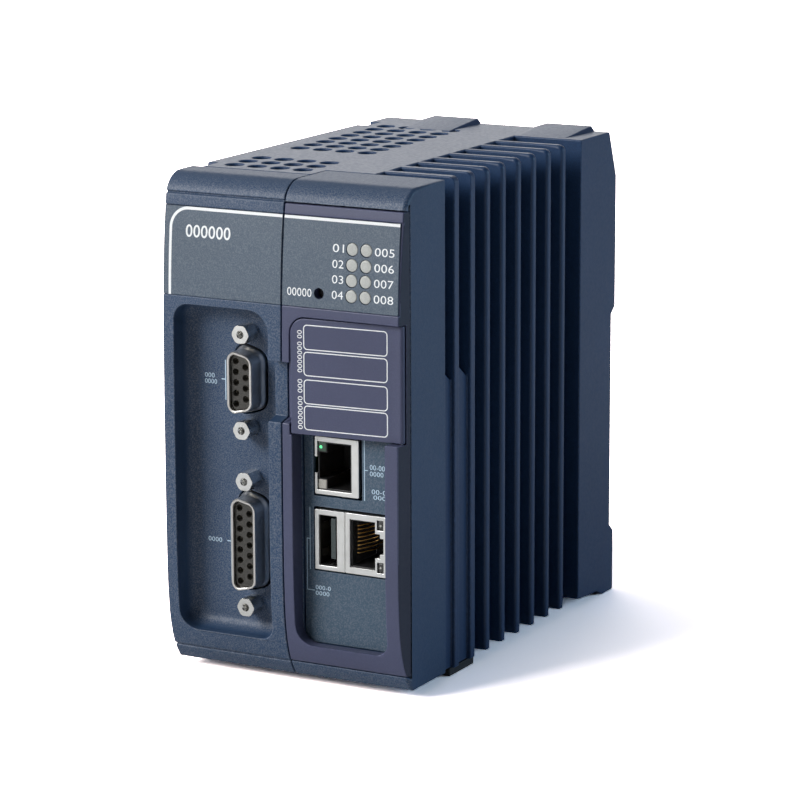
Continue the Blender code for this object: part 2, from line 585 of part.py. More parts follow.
def boards():
    green = (0.02, 0.12, 0.05)
    serial = solid("serial_board", finish("serial_board", green, 0.5), lambda bm: add_box(
        bm, *SERIAL_BOARD_X, 11.0, 108.0, 7.0, 119.0))
    cpu = solid("cpu_board", finish("cpu_board", green, 0.5), lambda bm: add_box(
        bm, *CPU_BOARD_X, 8.0, 108.0, 8.0, 119.0))

    def holes(bm):
        for y, z in STACK_YZ:
            add_rod(bm, y, z, 1.6, "x", 29, 42, 8)
    cut(serial, holes)
    cut(cpu, holes)
    solid("processor", finish("processor", (0.05, 0.05, 0.055), 0.4), lambda bm: add_box(
        bm, 40.5, 42.6, 52, 80, 70, 98))
    solid("thermal_pad", finish("thermal_pad", (0.35, 0.45, 0.55), 0.8), lambda bm: add_box(
        bm, 42.9, 46.0, 54, 78, 72, 96))
    for y, z in STACK_YZ:
        place = ("front" if y < 50 else "rear") + ("_lower" if z < 50 else "_upper")
        steel = (0.62, 0.62, 0.64)
        screw = solid("cover_screw_" + place, finish("cover_screw", steel, 0.3, 1.0),
                      lambda bm, y=y, z=z: add_rod(bm, y, z, 2.7, "x", 0.1, 0.6, 12))
        join(screw, lambda bm, y=y, z=z: add_rod(bm, y, z, 1.2, "x", 0.4, 8.0, 8))
        pillar = solid("pillar_" + place, finish("pillar", (0.65, 0.50, 0.25), 0.35, 1.0),
                       lambda bm, y=y, z=z: add_rod(bm, y, z, 2.8, "x", 2.2, 29.7, 6))
        cut(pillar, lambda bm, y=y, z=z: add_rod(bm, y, z, 1.55, "x", 1, 10, 8))
        solid("spacer_" + place, finish("spacer", (0.65, 0.50, 0.25), 0.35, 1.0),
              lambda bm, y=y, z=z: add_rod(bm, y, z, 2.8, "x", 31.9, 38.3, 6))


def main():
    for obj in list(bpy.data.objects):
        bpy.data.objects.remove(obj, do_unlink=True)
    left_bezel()
    right_bezel()
    labels()
    port_frame()
    port_panel()
    address_door()
    finned_housing()
    side_cover()
    rear_cover()
    release_lever()
    battery_drawer()
    backup_socket()
    serial_socket("9")
    serial_socket("15")
    upper_jack()
    lower_jack()
    front_controls()
    boards()


main()
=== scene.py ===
"""Looks of a double-width rack controller module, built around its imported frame.

Sizes are in millimetres in the module's own measure: x from its left side, y from
the most proud point of the front towards the rear, and z from the underside of the
housing. at() turns them into metres in the frame.
"""
import math

import bmesh
import bpy
from bpy.props import FloatProperty, FloatVectorProperty, IntProperty, PointerProperty
from mathutils import Matrix, Vector


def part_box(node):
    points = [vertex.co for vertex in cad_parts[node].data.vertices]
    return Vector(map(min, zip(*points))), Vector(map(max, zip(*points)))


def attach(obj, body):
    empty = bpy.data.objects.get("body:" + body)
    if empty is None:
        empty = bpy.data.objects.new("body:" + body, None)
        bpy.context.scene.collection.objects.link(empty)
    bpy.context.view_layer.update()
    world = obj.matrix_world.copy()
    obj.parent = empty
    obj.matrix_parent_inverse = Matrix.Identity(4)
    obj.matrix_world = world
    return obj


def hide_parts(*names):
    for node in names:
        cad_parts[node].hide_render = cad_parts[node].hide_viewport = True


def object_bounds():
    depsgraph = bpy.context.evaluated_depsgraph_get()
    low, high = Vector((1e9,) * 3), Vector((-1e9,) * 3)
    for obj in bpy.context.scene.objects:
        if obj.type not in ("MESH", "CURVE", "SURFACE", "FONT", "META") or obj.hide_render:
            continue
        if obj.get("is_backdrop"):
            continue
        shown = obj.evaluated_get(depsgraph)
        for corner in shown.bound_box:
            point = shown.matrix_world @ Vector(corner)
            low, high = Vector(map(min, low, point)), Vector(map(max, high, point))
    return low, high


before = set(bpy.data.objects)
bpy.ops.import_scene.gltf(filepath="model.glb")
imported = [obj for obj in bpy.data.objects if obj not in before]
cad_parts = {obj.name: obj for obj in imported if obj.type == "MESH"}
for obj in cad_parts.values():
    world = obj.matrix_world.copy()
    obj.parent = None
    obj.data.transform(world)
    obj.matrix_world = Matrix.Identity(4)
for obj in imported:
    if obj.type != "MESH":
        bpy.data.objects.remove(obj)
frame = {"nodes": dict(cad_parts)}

bl_info = {
    "name": "Rack Controller Module",
    "version": (1, 0, 0),
    "blender": (4, 5, 0),
    "location": "3D View > Sidebar > Controller",
    "description": "Builds the pieces and finishes of a rack controller module",
    "category": "Object",
}

MM = 0.001
BEZEL_LOW, BEZEL_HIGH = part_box("left_bezel")
HOUSING_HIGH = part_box("finned_housing")[1]
LEFT = BEZEL_LOW.x
FRONT = BEZEL_LOW.y
UNDER = BEZEL_LOW.z

WIDTH = (HOUSING_HIGH.x - LEFT) / MM
HEIGHT = (BEZEL_HIGH.z - UNDER) / MM
DEPTH = (HOUSING_HIGH.y - FRONT) / MM
SEAM = 35.0
LEFT_REAR = (BEZEL_HIGH.y - FRONT) / MM
RIGHT_REAR = (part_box("right_bezel")[1].y - FRONT) / MM
GAP = 0.15

LABEL_Z = (97.6, 120.3)
RECESS = (3.25, 31.05, 9.2, 95.3)
RECESS_FLOOR = 7.5
SCOOP_Z = (67.3, 83.0)
SCOOP_FLOOR = 3.7
WINDOW = (38.0, 64.55, 9.3, 94.9)
PANEL_FRONT = 5.7
FRAME_REAR = 5.0
FRAME_Z = (4.3, 123.1)
DOOR_Z = (64.8, 94.6)
DOOR_FACE = ((37.6, 0.35), (64.6, 2.25))
DOOR_AXIS = (67.7, 3.2)
DOOR_BARREL = 0.98

LAMP_X = (55.0, 58.95)
LAMP_Z = (113.0, 109.05, 105.2, 101.3)
LAMP_RADIUS = 1.6
RESET_XZ = (45.8, 101.3)

FIN_FIRST = 30.1
FIN_PITCH = 8.93
FIN_COUNT = 8
FIN_THICK = 2.6
FIN_ROOT = 49.3
SLOTS_REAR = 103.0
LEDGE_TOP = 80.5
LEDGE_SLOPE = 0.75
LEDGE_FACE = 68.2

SERIAL = {                 # x, z, long side, contacts, screw spacing
    "9": (21.75, 75.9, 16.33, 9, 24.99),
    "15": (22.3, 33.4, 24.66, 15, 33.32),
}
SERIAL_WIDE = 7.4
SERIAL_FRONT = 1.5
UPPER_JACK = (41.6, 54.35, 48.6, 63.65)
LOWER_JACK = (41.45, 62.4, 28.8, 44.6)
JACK_FRONT = 5.2
STACK_YZ = ((44.5, 12.0), (44.5, 114.0), (99.0, 12.0), (99.0, 114.0))

VENT_X = 8.9
VENT_COLUMNS = 4
VENT_SPACING = 6.78
VENT_RADIUS = 2.45
VENT_PITCH = 6.82
VENT_GROUPS = ((22.2, 3), (56.1, 8))       # first row's place and the number of rows
PLATE_CUTS = ((18.8, 4), (52.7, 9))        # between the rows of vents, the same way
PLATE_RIGHT = 48.0
HOOK_RISE = (103.5, 121.1)
HOOK_HIGH = 1.4
HALL_LOW, HALL_HIGH = (0.1, 14.9, 2.0), (FIN_ROOT - 2.9, 110.8, 126.4)

FONT_SPACING = 1.05
INK_THICK = 0.03
ROUND_ABOVE = 32           # degrees between two faces
PATH_STEP = 1.5
CAMERA_PLACE = (0.430057, -0.795282, 0.260255)
CAMERA_TURN = (28.38, 12.28, -0.23)
LIGHTS_AIM = (0, 0, 0.06)
FLOOR_HALF = 12.0


# Sizes and colours that can be changed.

def tint(name, description, default):
    return FloatVectorProperty(name=name, description=description, default=default, size=3,
                               min=0.0, max=1.0, subtype="COLOR")


def length(name, description, default):
    return FloatProperty(name=name, description=description, default=default, min=0.0,
                         unit="LENGTH")


def power(name, description, default):
    return FloatProperty(name=name, description=description, default=default, min=0.0,
                         unit="POWER")


class ModuleColours(bpy.types.PropertyGroup):
    body: tint("Body", "Moulded front halves and side cover", (0.026, 0.058, 0.122))
    # The speckle colours are light grains that also stand for painted glints on faces towards the
    # front.
    body_speckle: tint("Body speckle", "Light grains on the moulded body", (0.190, 0.215, 0.265))
    casting: tint("Casting", "Painted finned housing", (0.018, 0.045, 0.108))
    overlay: tint("Overlay", "Printed overlays above the sockets", (0.070, 0.100, 0.142))
    overlay_speckle: tint("Overlay speckle", "Light grains on the overlays", (0.185, 0.220, 0.255))
    frame: tint("Frame", "Frame and door in front of the ports", (0.060, 0.068, 0.130))
    panel: tint("Panel", "Panel around the ports", (0.038, 0.078, 0.125))
    ink: tint("Ink", "Fine printing on the recesses", (0.55, 0.72, 0.86))
    stripe: tint("Stripe", "Stripe and legends on the overlays", (0.93, 0.95, 0.96))
    lamp: tint("Lamp", "Unlit lamp lenses", (0.46, 0.47, 0.45))
    nickel: tint("Nickel", "Serial shells", (0.72, 0.70, 0.67))
    bright: tint("Bright plating", "Jack screws and port shields", (0.80, 0.80, 0.78))
    gold: tint("Gold", "Contacts", (0.83, 0.50, 0.18))
    black: tint("Black plastic", "Insulators, drawers and levers", (0.012, 0.012, 0.013))


class ModuleSizes(bpy.types.PropertyGroup):
    edge: length("Edge round", "Rounding of moulded edges", 0.30 * MM)
    cast_edge: length("Cast edge round", "Rounding of cast edges", 0.40 * MM)
    fin_tip: length("Fin tip round", "Rounding of the fins' outer edges", 0.95 * MM)
    recess_fillet: length("Recess fillet", "Radius between the left recess's walls and floor",
                          3.6 * MM)
    grain: length("Grain size", "Size of the grains on the moulded parts", 0.33 * MM)
    grain_depth: length("Grain depth", "Depth of the grains", 0.045 * MM)
    stripe: length("Stripe width", "Width of the stripe on the overlays", 0.75 * MM)
    vent_sides: IntProperty(name="Vent sides", description="Sides of each vent hole", default=28,
                            min=8, max=64)


class StageSettings(bpy.types.PropertyGroup):
    floor: tint("Floor", "Plain floor", (0.90, 0.90, 0.90))
    key: power("Key light", "Power of the key light", 30.0)
    back: power("Back light", "Power of the panel behind the module", 5.5)
    fill: power("Fill light", "Power of the panel on the right", 13.0)
    top: power("Top light", "Power of the overhead panel", 5.0)
    lens: FloatProperty(name="Lens", description="Focal length of the camera", default=154.98,
                        min=1.0, unit="CAMERA")


def colours():
    return bpy.context.scene.module_colours


def sizes():
    return bpy.context.scene.module_sizes


# Shapes.

def at(x, y, z):
    return Vector((LEFT + x * MM, FRONT + y * MM, UNDER + z * MM))


def front_y(z):
    """Depth of the curved front at height z: a soft chin, a long bulge and a round cap."""
    below_top = HEIGHT - z
    cap = 1.0 - below_top / 5.0
    cap_depth = 5.9 * (1.0 - math.sqrt(max(0.0, 1.0 - cap * cap))) if cap > 0 else 0.0
    return 5.9 * math.exp(-z / 7.3) + 3.9 * math.exp(-below_top / 17.0) + cap_depth - 0.04


def front_heights(z0, z1):
    """Heights along the front, close together at the chin and round the cap."""
    heights = [z0]
    while heights[-1] < z1:
        z = heights[-1]
        step = 1.0 if z < 16 else 3.0
        if z > 121.5:
            step = max(0.12, 0.16 * (HEIGHT - z))
        elif z > 96:
            step = 1.6
        heights.append(min(z1, z + step))
    if len(heights) > 2 and heights[-1] - heights[-2] < 0.1:
        heights.pop(-2)
    return heights


def arc(cx, cy, radius, start, end, steps):
    points = []
    for i in range(steps + 1):
        angle = math.radians(start + (end - start) * i / steps)
        points.append((cx + radius * math.cos(angle), cy + radius * math.sin(angle)))
    return points


def rounded(x0, x1, z0, z1, radii, steps=6):
    """Rounded rectangle; radii run lower left, lower right, upper right, upper left."""
    a, b, c, d = radii
    return (arc(x0 + a, z0 + a, a, 180, 270, steps) + arc(x1 - b, z0 + b, b, 270, 360, steps)
            + arc(x1 - c, z1 - c, c, 0, 90, steps) + arc(x0 + d, z1 - d, d, 90, 180, steps))


def serial_outline(tag, grow=0.0, steps=6):
    """D-shaped outline on end, its long side on the left."""
    x, z, long_side = SERIAL[tag][:3]
    wide = SERIAL_WIDE / 2 + grow
    half = long_side / 2 + grow
    slant = 2 * wide * math.tan(math.radians(6))
    r = 2.6 + grow
    left, right = x - wide, x + wide
    return (arc(left + r, z - half + r, r, 180, 260, steps)
            + arc(right - r, z - half + slant + r, r, 280, 360, steps)
            + arc(right - r, z + half - slant - r, r, 0, 80, steps)
            + arc(left + r, z + half - r, r, 100, 180, steps))


def place(axis, u, v, along):
    return {"x": at(along, u, v), "y": at(u, along, v), "z": at(u, v, along)}[axis]


def loft(bm, rings, axis, ends=True):
    """Skin between outlines of equal length at given places on an axis. With ends
    off, the last outline joins the first, which makes a tube's wall."""
    loops = [[bm.verts.new(place(axis, u, v, along)) for u, v in outline]
             for along, outline in rings]
    pairs = list(zip(loops, loops[1:])) + ([] if ends else [(loops[-1], loops[0])])
    for low, high in pairs:
        for i in range(len(low)):
            j = (i + 1) % len(low)
            bm.faces.new((low[i], low[j], high[j], high[i]))
    if ends:
        bm.faces.new(list(reversed(loops[0])))
        bm.faces.new(loops[-1])


def prism(bm, outline, axis, start, end):
    clean = [p for i, p in enumerate(outline) if math.dist(p, outline[i - 1]) > 1e-5]
    loft(bm, [(start, clean), (end, clean)], axis)


def box(bm, x0, x1, y0, y1, z0, z1):
    prism(bm, [(x0, y0), (x1, y0), (x1, y1), (x0, y1)], "z", z0, z1)


def rod(bm, cu, cv, radius, axis, start, end, sides=24):
    prism(bm, arc(cu, cv, radius, 0, 360 - 360 / sides, sides - 1), axis, start, end)


def turned(bm, cu, cv, axis, profile, sides=24, ends=True):
    """Round body from (along, radius) pairs."""
    loft(bm, [(along, arc(cu, cv, radius, 0, 360 - 360 / sides, sides - 1))
              for along, radius in profile], axis, ends)


def add_object(name, data):
    obj = bpy.data.objects.new(name, data)
    bpy.context.scene.collection.objects.link(obj)
    return obj


def solid(name, build):
    bm = bmesh.new()
    build(bm)
    bmesh.ops.remove_doubles(bm, verts=bm.verts, dist=1e-8)
    bmesh.ops.recalc_face_normals(bm, faces=bm.faces)
    mesh = bpy.data.meshes.new(name)
    bm.to_mesh(mesh)
    bm.free()
    return add_object(name, mesh)


def bake_modifiers(obj):
    """Replace the mesh with its evaluated shape."""
    graph = bpy.context.evaluated_depsgraph_get()
    mesh = bpy.data.meshes.new_from_object(obj.evaluated_get(graph))
    obj.modifiers.clear()
    obj.data = mesh


def carve(obj, build, operation="DIFFERENCE"):
    tool = solid("tool", build)
    modifier = obj.modifiers.new("carve", "BOOLEAN")
    modifier.operation = operation
    modifier.solver = "EXACT"
    modifier.object = tool
    bake_modifiers(obj)
    bpy.data.objects.remove(tool, do_unlink=True)


def carve_boxes(obj, boxes):
    for sides in boxes:
        carve(obj, lambda bm, sides=sides: box(bm, *sides))


def lamp_holes(bm, clearance, reset_radius, sides=24):
    """Holes for the lamps and the pinhole over the reset button."""
    for x in LAMP_X:
        for z in LAMP_Z:
            rod(bm, x, z, LAMP_RADIUS + clearance, "y", -1, 6, sides)
    rod(bm, *RESET_XZ, reset_radius, "y", -1, 6, sides)


def tidy_faces(obj, below):
    """Merge flat faces under a height; a plate full of holes above it keeps its own."""
    bm = bmesh.new()
    bm.from_mesh(obj.data)
    bmesh.ops.remove_doubles(bm, verts=bm.verts, dist=4e-6)
    verts = [vertex for vertex in bm.verts if vertex.co.z < below]
    edges = [edge for edge in bm.edges if max(vertex.co.z for vertex in edge.verts) < below]
    bmesh.ops.dissolve_limit(bm, angle_limit=math.radians(0.4), verts=verts, edges=edges)
    bm.to_mesh(obj.data)
    bm.free()


def round_edges(obj, width, segments=3, weight=None, below=1.0):
    """Bevel the sharp edges. weight(middle, direction) scales the width of each edge."""
    tidy_faces(obj, below)
    if weight:
        bm = bmesh.new()
        bm.from_mesh(obj.data)
        layer = bm.edges.layers.float.new("bevel_weight_edge")
        for edge in bm.edges:
            if len(edge.link_faces) == 2 and edge.calc_face_angle(0.0) > math.radians(ROUND_ABOVE):
                middle = (edge.verts[0].co + edge.verts[1].co) / 2
                direction = (edge.verts[1].co - edge.verts[0].co).normalized()
                edge[layer] = weight(middle, direction)
        bm.to_mesh(obj.data)
        bm.free()
    bevel = obj.modifiers.new("edges", "BEVEL")
    bevel.limit_method = "WEIGHT" if weight else "ANGLE"
    bevel.angle_limit = math.radians(ROUND_ABOVE)
    bevel.width = width
    bevel.segments = segments
    bevel.use_clamp_overlap = False
    bake_modifiers(obj)
    shade(obj)


def trim_right(obj):
    """Bring corners that rounding pushed past the module's right side back to it."""
    for vertex in obj.data.vertices:
        vertex.co.x = min(vertex.co.x, HOUSING_HIGH.x)


def shade(obj, degrees=38):
    obj.data.shade_smooth()
    obj.data.set_sharp_from_angle(angle=math.radians(degrees))
    normals = obj.modifiers.new("flat_faces", "WEIGHTED_NORMAL")
    normals.keep_sharp = True


def dress(obj, material, body="root", slot=None, replaces=()):
    obj.data.materials.clear()
    obj.data.materials.append(material)
    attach(obj, body)
    if replaces:
        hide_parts(*replaces)
    slot or replaces[0]
    return obj


def curve_band(z0, z1, near, far):
    heights = front_heights(z0, z1)
    return ([(front_y(z) + near, z) for z in heights]
            + [(front_y(z) + far, z) for z in reversed(heights)])


# Printing: flat marks laid on a surface.

def ribbon(bm, path, width, closed=False):
    """Band of even width along points in (x, z), mitred at its corners."""
    count = len(path)
    pairs = []
    for i in range(count):
        before = path[i - 1] if closed or i > 0 else path[i]
        after = path[(i + 1) % count] if closed or i < count - 1 else path[i]
        first = Vector(path[i]) - Vector(before)
        second = Vector(after) - Vector(path[i])
        first = first.normalized() if first.length else second.normalized()
        second = second.normalized() if second.length else first
        along = (first + second).normalized()
        side = Vector((-along.y, along.x)) * (width / 2) / max(0.5, along.dot(second))
        pairs.append([bm.verts.new((path[i][0] + s * side.x, 0, path[i][1] + s * side.y))
                      for s in (-1, 1)])
    for i in range(count if closed else count - 1):
        a, b = pairs[i], pairs[(i + 1) % count]
        bm.faces.new((a[0], b[0], b[1], a[1]))


def spaced(path):
    """The same path with points close together, to lie on a curved surface."""
    result = [path[0]]
    for a, b in zip(path, path[1:]):
        parts = max(1, math.ceil(math.dist(a, b) / PATH_STEP))
        result += [(a[0] + (b[0] - a[0]) * k / parts, a[1] + (b[1] - a[1]) * k / parts)
                   for k in range(1, parts + 1)]
    return result


def digits(bm, text, x0, x1, z0, z1, turn=0, bold=0.0):
    """Numerals that fill a rectangle; turn of -90 makes them read downwards."""
    curve = bpy.data.curves.new("digits", "FONT")
    curve.body = text
    curve.offset = bold
    curve.space_character = FONT_SPACING
    obj = add_object("digits", curve)
    graph = bpy.context.evaluated_depsgraph_get()
    mesh = bpy.data.meshes.new_from_object(obj.evaluated_get(graph))
    bpy.data.objects.remove(obj, do_unlink=True)
    us = [v.co.x for v in mesh.vertices]
    vs = [v.co.y for v in mesh.vertices]
    u0, u1, v0, v1 = min(us), max(us), min(vs), max(vs)
    made = []
    for vertex in mesh.vertices:
        u = (vertex.co.x - u0) / (u1 - u0)
        v = (vertex.co.y - v0) / (v1 - v0)
        if turn:
            u, v = v, 1 - u
        made.append(bm.verts.new((x0 + u * (x1 - x0), 0, z0 + v * (z1 - z0))))
    for polygon in mesh.polygons:
        bm.faces.new([made[i] for i in polygon.vertices])
    bpy.data.meshes.remove(mesh)


def printed(name, build, surface, material, body, slot):
    """A thin printed layer on surface(x, z)."""
    bm = bmesh.new()
    build(bm)
    for vertex in bm.verts:
        x, z = vertex.co.x, vertex.co.z
        vertex.co = at(x, surface(x, z) - INK_THICK / 2, z)
    for face in bm.faces:
        face.normal_update()
        if face.normal.y > 0:
            face.normal_flip()
    mesh = bpy.data.meshes.new(name)
    bm.to_mesh(mesh)
    bm.free()
    obj = add_object(name, mesh)
    layer = obj.modifiers.new("layer", "SOLIDIFY")
    layer.thickness = INK_THICK * MM
    layer.offset = -1
    return dress(obj, material, body, slot)


# Shader groups.

def new_group(name, inputs, outputs):
    group = bpy.data.node_groups.new(name, "ShaderNodeTree")
    for label, kind, default in inputs:
        socket = group.interface.new_socket(label, in_out="INPUT", socket_type=kind)
        socket.default_value = default
    for label, kind in outputs:
        group.interface.new_socket(label, in_out="OUTPUT", socket_type=kind)
    return group, group.nodes.new("NodeGroupInput"), group.nodes.new("NodeGroupOutput")


FINISH_OUTPUTS = [("Colour", "NodeSocketColor"), ("Roughness", "NodeSocketFloat"),
                  ("Height", "NodeSocketFloat")]


def math_node(tree, operation, a, b=None):
    node = tree.nodes.new("ShaderNodeMath")
    node.operation = operation
    for socket, value in zip(node.inputs, (a, b)):
        if isinstance(value, (int, float)):
            socket.default_value = value
        elif value is not None:
            tree.links.new(value, socket)
    return node.outputs[0]


def mix_colour(tree, factor, a, b):
    node = tree.nodes.new("ShaderNodeMix")
    node.data_type = "RGBA"
    for socket, value in ((node.inputs[0], factor), (node.inputs[6], a), (node.inputs[7], b)):
        if isinstance(value, (int, float, tuple)):
            socket.default_value = value
        else:
            tree.links.new(value, socket)
    return node.outputs[2]


def noise(tree, scale, detail=2.0, roughness=0.5, stretch=None):
    coordinates = tree.nodes.new("ShaderNodeTexCoord").outputs["Object"]
    if stretch:
        mapping = tree.nodes.new("ShaderNodeMapping")
        mapping.inputs["Scale"].default_value = stretch
        tree.links.new(coordinates, mapping.inputs["Vector"])
        coordinates = mapping.outputs["Vector"]
    node = tree.nodes.new("ShaderNodeTexNoise")
    node.inputs["Detail"].default_value = detail
    node.inputs["Roughness"].default_value = roughness
    if isinstance(scale, (int, float)):
        node.inputs["Scale"].default_value = scale
    else:
        tree.links.new(scale, node.inputs["Scale"])
    tree.links.new(coordinates, node.inputs["Vector"])
    return node.outputs["Fac"]


def spread(tree, value, low, high, to_low=0.0, to_high=1.0):
    node = tree.nodes.new("ShaderNodeMapRange")
    for label, item in (("From Min", low), ("From Max", high), ("To Min", to_low),
                        ("To Max", to_high)):
        if isinstance(item, (int, float)):
            node.inputs[label].default_value = item
        else:
            tree.links.new(item, node.inputs[label])
    tree.links.new(value, node.inputs["Value"])
    return node.outputs["Result"]


def grain_group():
    """Moulded or painted grain: light speckles in the colour, uneven gloss and a height to bump.
    The speckles are grain and painted glints at once: they show mostly on faces that look to the
    front, where the light falls.
    """
    name = "moulded_grain"
    if name in bpy.data.node_groups:
        return bpy.data.node_groups[name]
    group, inlet, outlet = new_group(name, [
        ("Colour", "NodeSocketColor", (0.1, 0.1, 0.1, 1)),
        ("Speckle", "NodeSocketColor", (0.2, 0.2, 0.2, 1)),
        ("Speckle Amount", "NodeSocketFloat", 0.5), ("Grain Size", "NodeSocketFloat", 0.4 * MM),
        ("Roughness", "NodeSocketFloat", 0.5), ("Gloss Spread", "NodeSocketFloat", 0.1)],
        FINISH_OUTPUTS)
    pull = inlet.outputs
    scale = math_node(group, "DIVIDE", 1.0, pull["Grain Size"])
    grain = noise(group, scale, 2.0, 0.55)
    coarse = noise(group, math_node(group, "MULTIPLY", scale, 0.34), 1.0)
    cloud = noise(group, 38.0, 3.0)
    spots = spread(group, grain, 0.42, 0.66)
    normal = group.nodes.new("ShaderNodeSeparateXYZ")
    group.links.new(group.nodes.new("ShaderNodeNewGeometry").outputs["Normal"], normal.inputs[0])
    # Painted highlight: the speckles fade on faces that turn away from the front and the light, so
    # they read as glints.
    front = spread(group, normal.outputs["Y"], -0.25, -0.75, 0.08, 1.0)
    amount = math_node(group, "MULTIPLY", spots, pull["Speckle Amount"])
    factor = math_node(group, "MULTIPLY", amount, front)
    grain_and_glints = mix_colour(group, factor, pull["Colour"], pull["Speckle"])
    shadow = mix_colour(group, spread(group, cloud, 0.3, 0.7, 0.10, 0.0), grain_and_glints,
                        (0.0, 0.0, 0.0, 1.0))
    group.links.new(shadow, outlet.inputs["Colour"])
    uneven = math_node(group, "MULTIPLY", math_node(group, "SUBTRACT", coarse, 0.5),
                       pull["Gloss Spread"])
    group.links.new(math_node(group, "ADD", pull["Roughness"], uneven), outlet.inputs["Roughness"])
    group.links.new(grain, outlet.inputs["Height"])
    return group


def edge_highlight_group():
    """Mask of the outer edges, where a lighter tone is painted as a highlight."""
    name = "edge_wear"
    if name in bpy.data.node_groups:
        return bpy.data.node_groups[name]
    group, inlet, outlet = new_group(
        name, [("Radius", "NodeSocketFloat", 0.4 * MM), ("Amount", "NodeSocketFloat", 0.5)],
        [("Mask", "NodeSocketFloat")])
    bevel = group.nodes.new("ShaderNodeBevel")
    bevel.samples = 4
    group.links.new(inlet.outputs["Radius"], bevel.inputs["Radius"])
    facing = group.nodes.new("ShaderNodeVectorMath")
    facing.operation = "DOT_PRODUCT"
    group.links.new(bevel.outputs["Normal"], facing.inputs[0])
    group.links.new(group.nodes.new("ShaderNodeNewGeometry").outputs["Normal"], facing.inputs[1])
    edge = spread(group, facing.outputs["Value"], 0.995, 0.93)
    broken = spread(group, noise(group, 900.0, 3.0), 0.35, 0.62)
    mask = math_node(group, "MULTIPLY", math_node(group, "MULTIPLY", edge, broken),
                     inlet.outputs["Amount"])
    group.links.new(mask, outlet.inputs["Mask"])
    return group


def plating_group():
    """Drawn and plated metal: fine lines in the gloss and faint stains in the colour."""
    name = "plated_metal"
    if name in bpy.data.node_groups:
        return bpy.data.node_groups[name]
    group, inlet, outlet = new_group(name, [
        ("Colour", "NodeSocketColor", (0.5, 0.5, 0.5, 1)),
        ("Stain", "NodeSocketColor", (0.2, 0.2, 0.2, 1)),
        ("Roughness", "NodeSocketFloat", 0.25), ("Gloss Spread", "NodeSocketFloat", 0.2)],
        FINISH_OUTPUTS)
    lines = noise(group, 1200.0, 2.0, 0.6, (1.0, 0.08, 1.0))
    stain = noise(group, 260.0, 3.0)
    tone = mix_colour(group, spread(group, stain, 0.45, 0.75, 0.0, 0.35), inlet.outputs["Colour"],
                      inlet.outputs["Stain"])
    group.links.new(tone, outlet.inputs["Colour"])
    uneven = math_node(group, "MULTIPLY", math_node(group, "SUBTRACT", lines, 0.5),
                       inlet.outputs["Gloss Spread"])
    group.links.new(math_node(group, "ADD", inlet.outputs["Roughness"], uneven),
                    outlet.inputs["Roughness"])
    group.links.new(lines, outlet.inputs["Height"])
    return group


def start_material(name):
    material = bpy.data.materials.new(name)
    material.use_nodes = True
    tree = material.node_tree
    return material, tree, tree.nodes["Principled BSDF"]


def put_group(tree, group, values):
    node = tree.nodes.new("ShaderNodeGroup")
    node.node_tree = group
    for label, value in values.items():
        node.inputs[label].default_value = value
    return node


def add_bump(tree, shader, height, distance):
    bump = tree.nodes.new("ShaderNodeBump")
    bump.inputs["Distance"].default_value = distance
    bump.inputs["Strength"].default_value = 1.0
    tree.links.new(height, bump.inputs["Height"])
    tree.links.new(bump.outputs["Normal"], shader.inputs["Normal"])


def moulded(name, colour, speckle, amount=0.5, roughness=0.5, grain=None, depth=None, highlight=0.25,
            specular=0.5):
    """Grained plastic or paint with a painted highlight along its edges."""
    if name in bpy.data.materials:
        return bpy.data.materials[name]
    material, tree, shader = start_material(name)
    grained = put_group(tree, grain_group(), {
        "Colour": (*colour, 1), "Speckle": (*speckle, 1), "Speckle Amount": amount,
        "Grain Size": grain or sizes().grain, "Roughness": roughness, "Gloss Spread": 0.18})
    edge_lit = put_group(tree, edge_highlight_group(), {"Radius": 0.45 * MM, "Amount": highlight})
    # Painted highlight: a lighter tone on the outer edges, for the light that the rounded edges
    # catch.
    highlight_tone = tuple(min(1.0, c * 2.0 + 0.01) for c in speckle)
    mixed = mix_colour(tree, edge_lit.outputs["Mask"], grained.outputs["Colour"], (*highlight_tone, 1.0))
    tree.links.new(mixed, shader.inputs["Base Color"])
    tree.links.new(grained.outputs["Roughness"], shader.inputs["Roughness"])
    shader.inputs["Specular IOR Level"].default_value = specular
    add_bump(tree, shader, grained.outputs["Height"], depth or sizes().grain_depth)
    material.diffuse_color = (*colour, 1)
    return material


def plated(name, colour, stain=None, roughness=0.28, spread_amount=0.25):
    if name in bpy.data.materials:
        return bpy.data.materials[name]
    material, tree, shader = start_material(name)
    stain = stain or tuple(c * 0.6 for c in colour)
    metal = put_group(tree, plating_group(), {
        "Colour": (*colour, 1), "Stain": (*stain, 1), "Roughness": roughness,
        "Gloss Spread": spread_amount})
    tree.links.new(metal.outputs["Colour"], shader.inputs["Base Color"])
    tree.links.new(metal.outputs["Roughness"], shader.inputs["Roughness"])
    shader.inputs["Metallic"].default_value = 1.0
    add_bump(tree, shader, metal.outputs["Height"], 0.003 * MM)
    material.diffuse_color = (*colour, 1)
    return material


def body_finish():
    tone = colours()
    return moulded("body_moulding", tone.body, tone.body_speckle, 0.55, 0.46, specular=0.35)


def casting_finish():
    tone = colours()
    return moulded("painted_casting", tone.casting, tuple(c * 1.8 for c in tone.casting), 0.35,
                   0.40, 0.30 * MM, 0.010 * MM, 0.55, 0.35)


def overlay_finish():
    tone = colours()
    return moulded("printed_overlay", tone.overlay, tone.overlay_speckle, 0.50, 0.55, highlight=0.0)


def frame_finish():
    tone = colours()
    return moulded("frame_moulding", tone.frame, tuple(c * 1.5 for c in tone.frame), 0.30, 0.42,
                   0.25 * MM, 0.008 * MM, 0.30)


def panel_finish():
    tone = colours()
    return moulded("panel_moulding", tone.panel, tone.body_speckle, 0.45, 0.50)


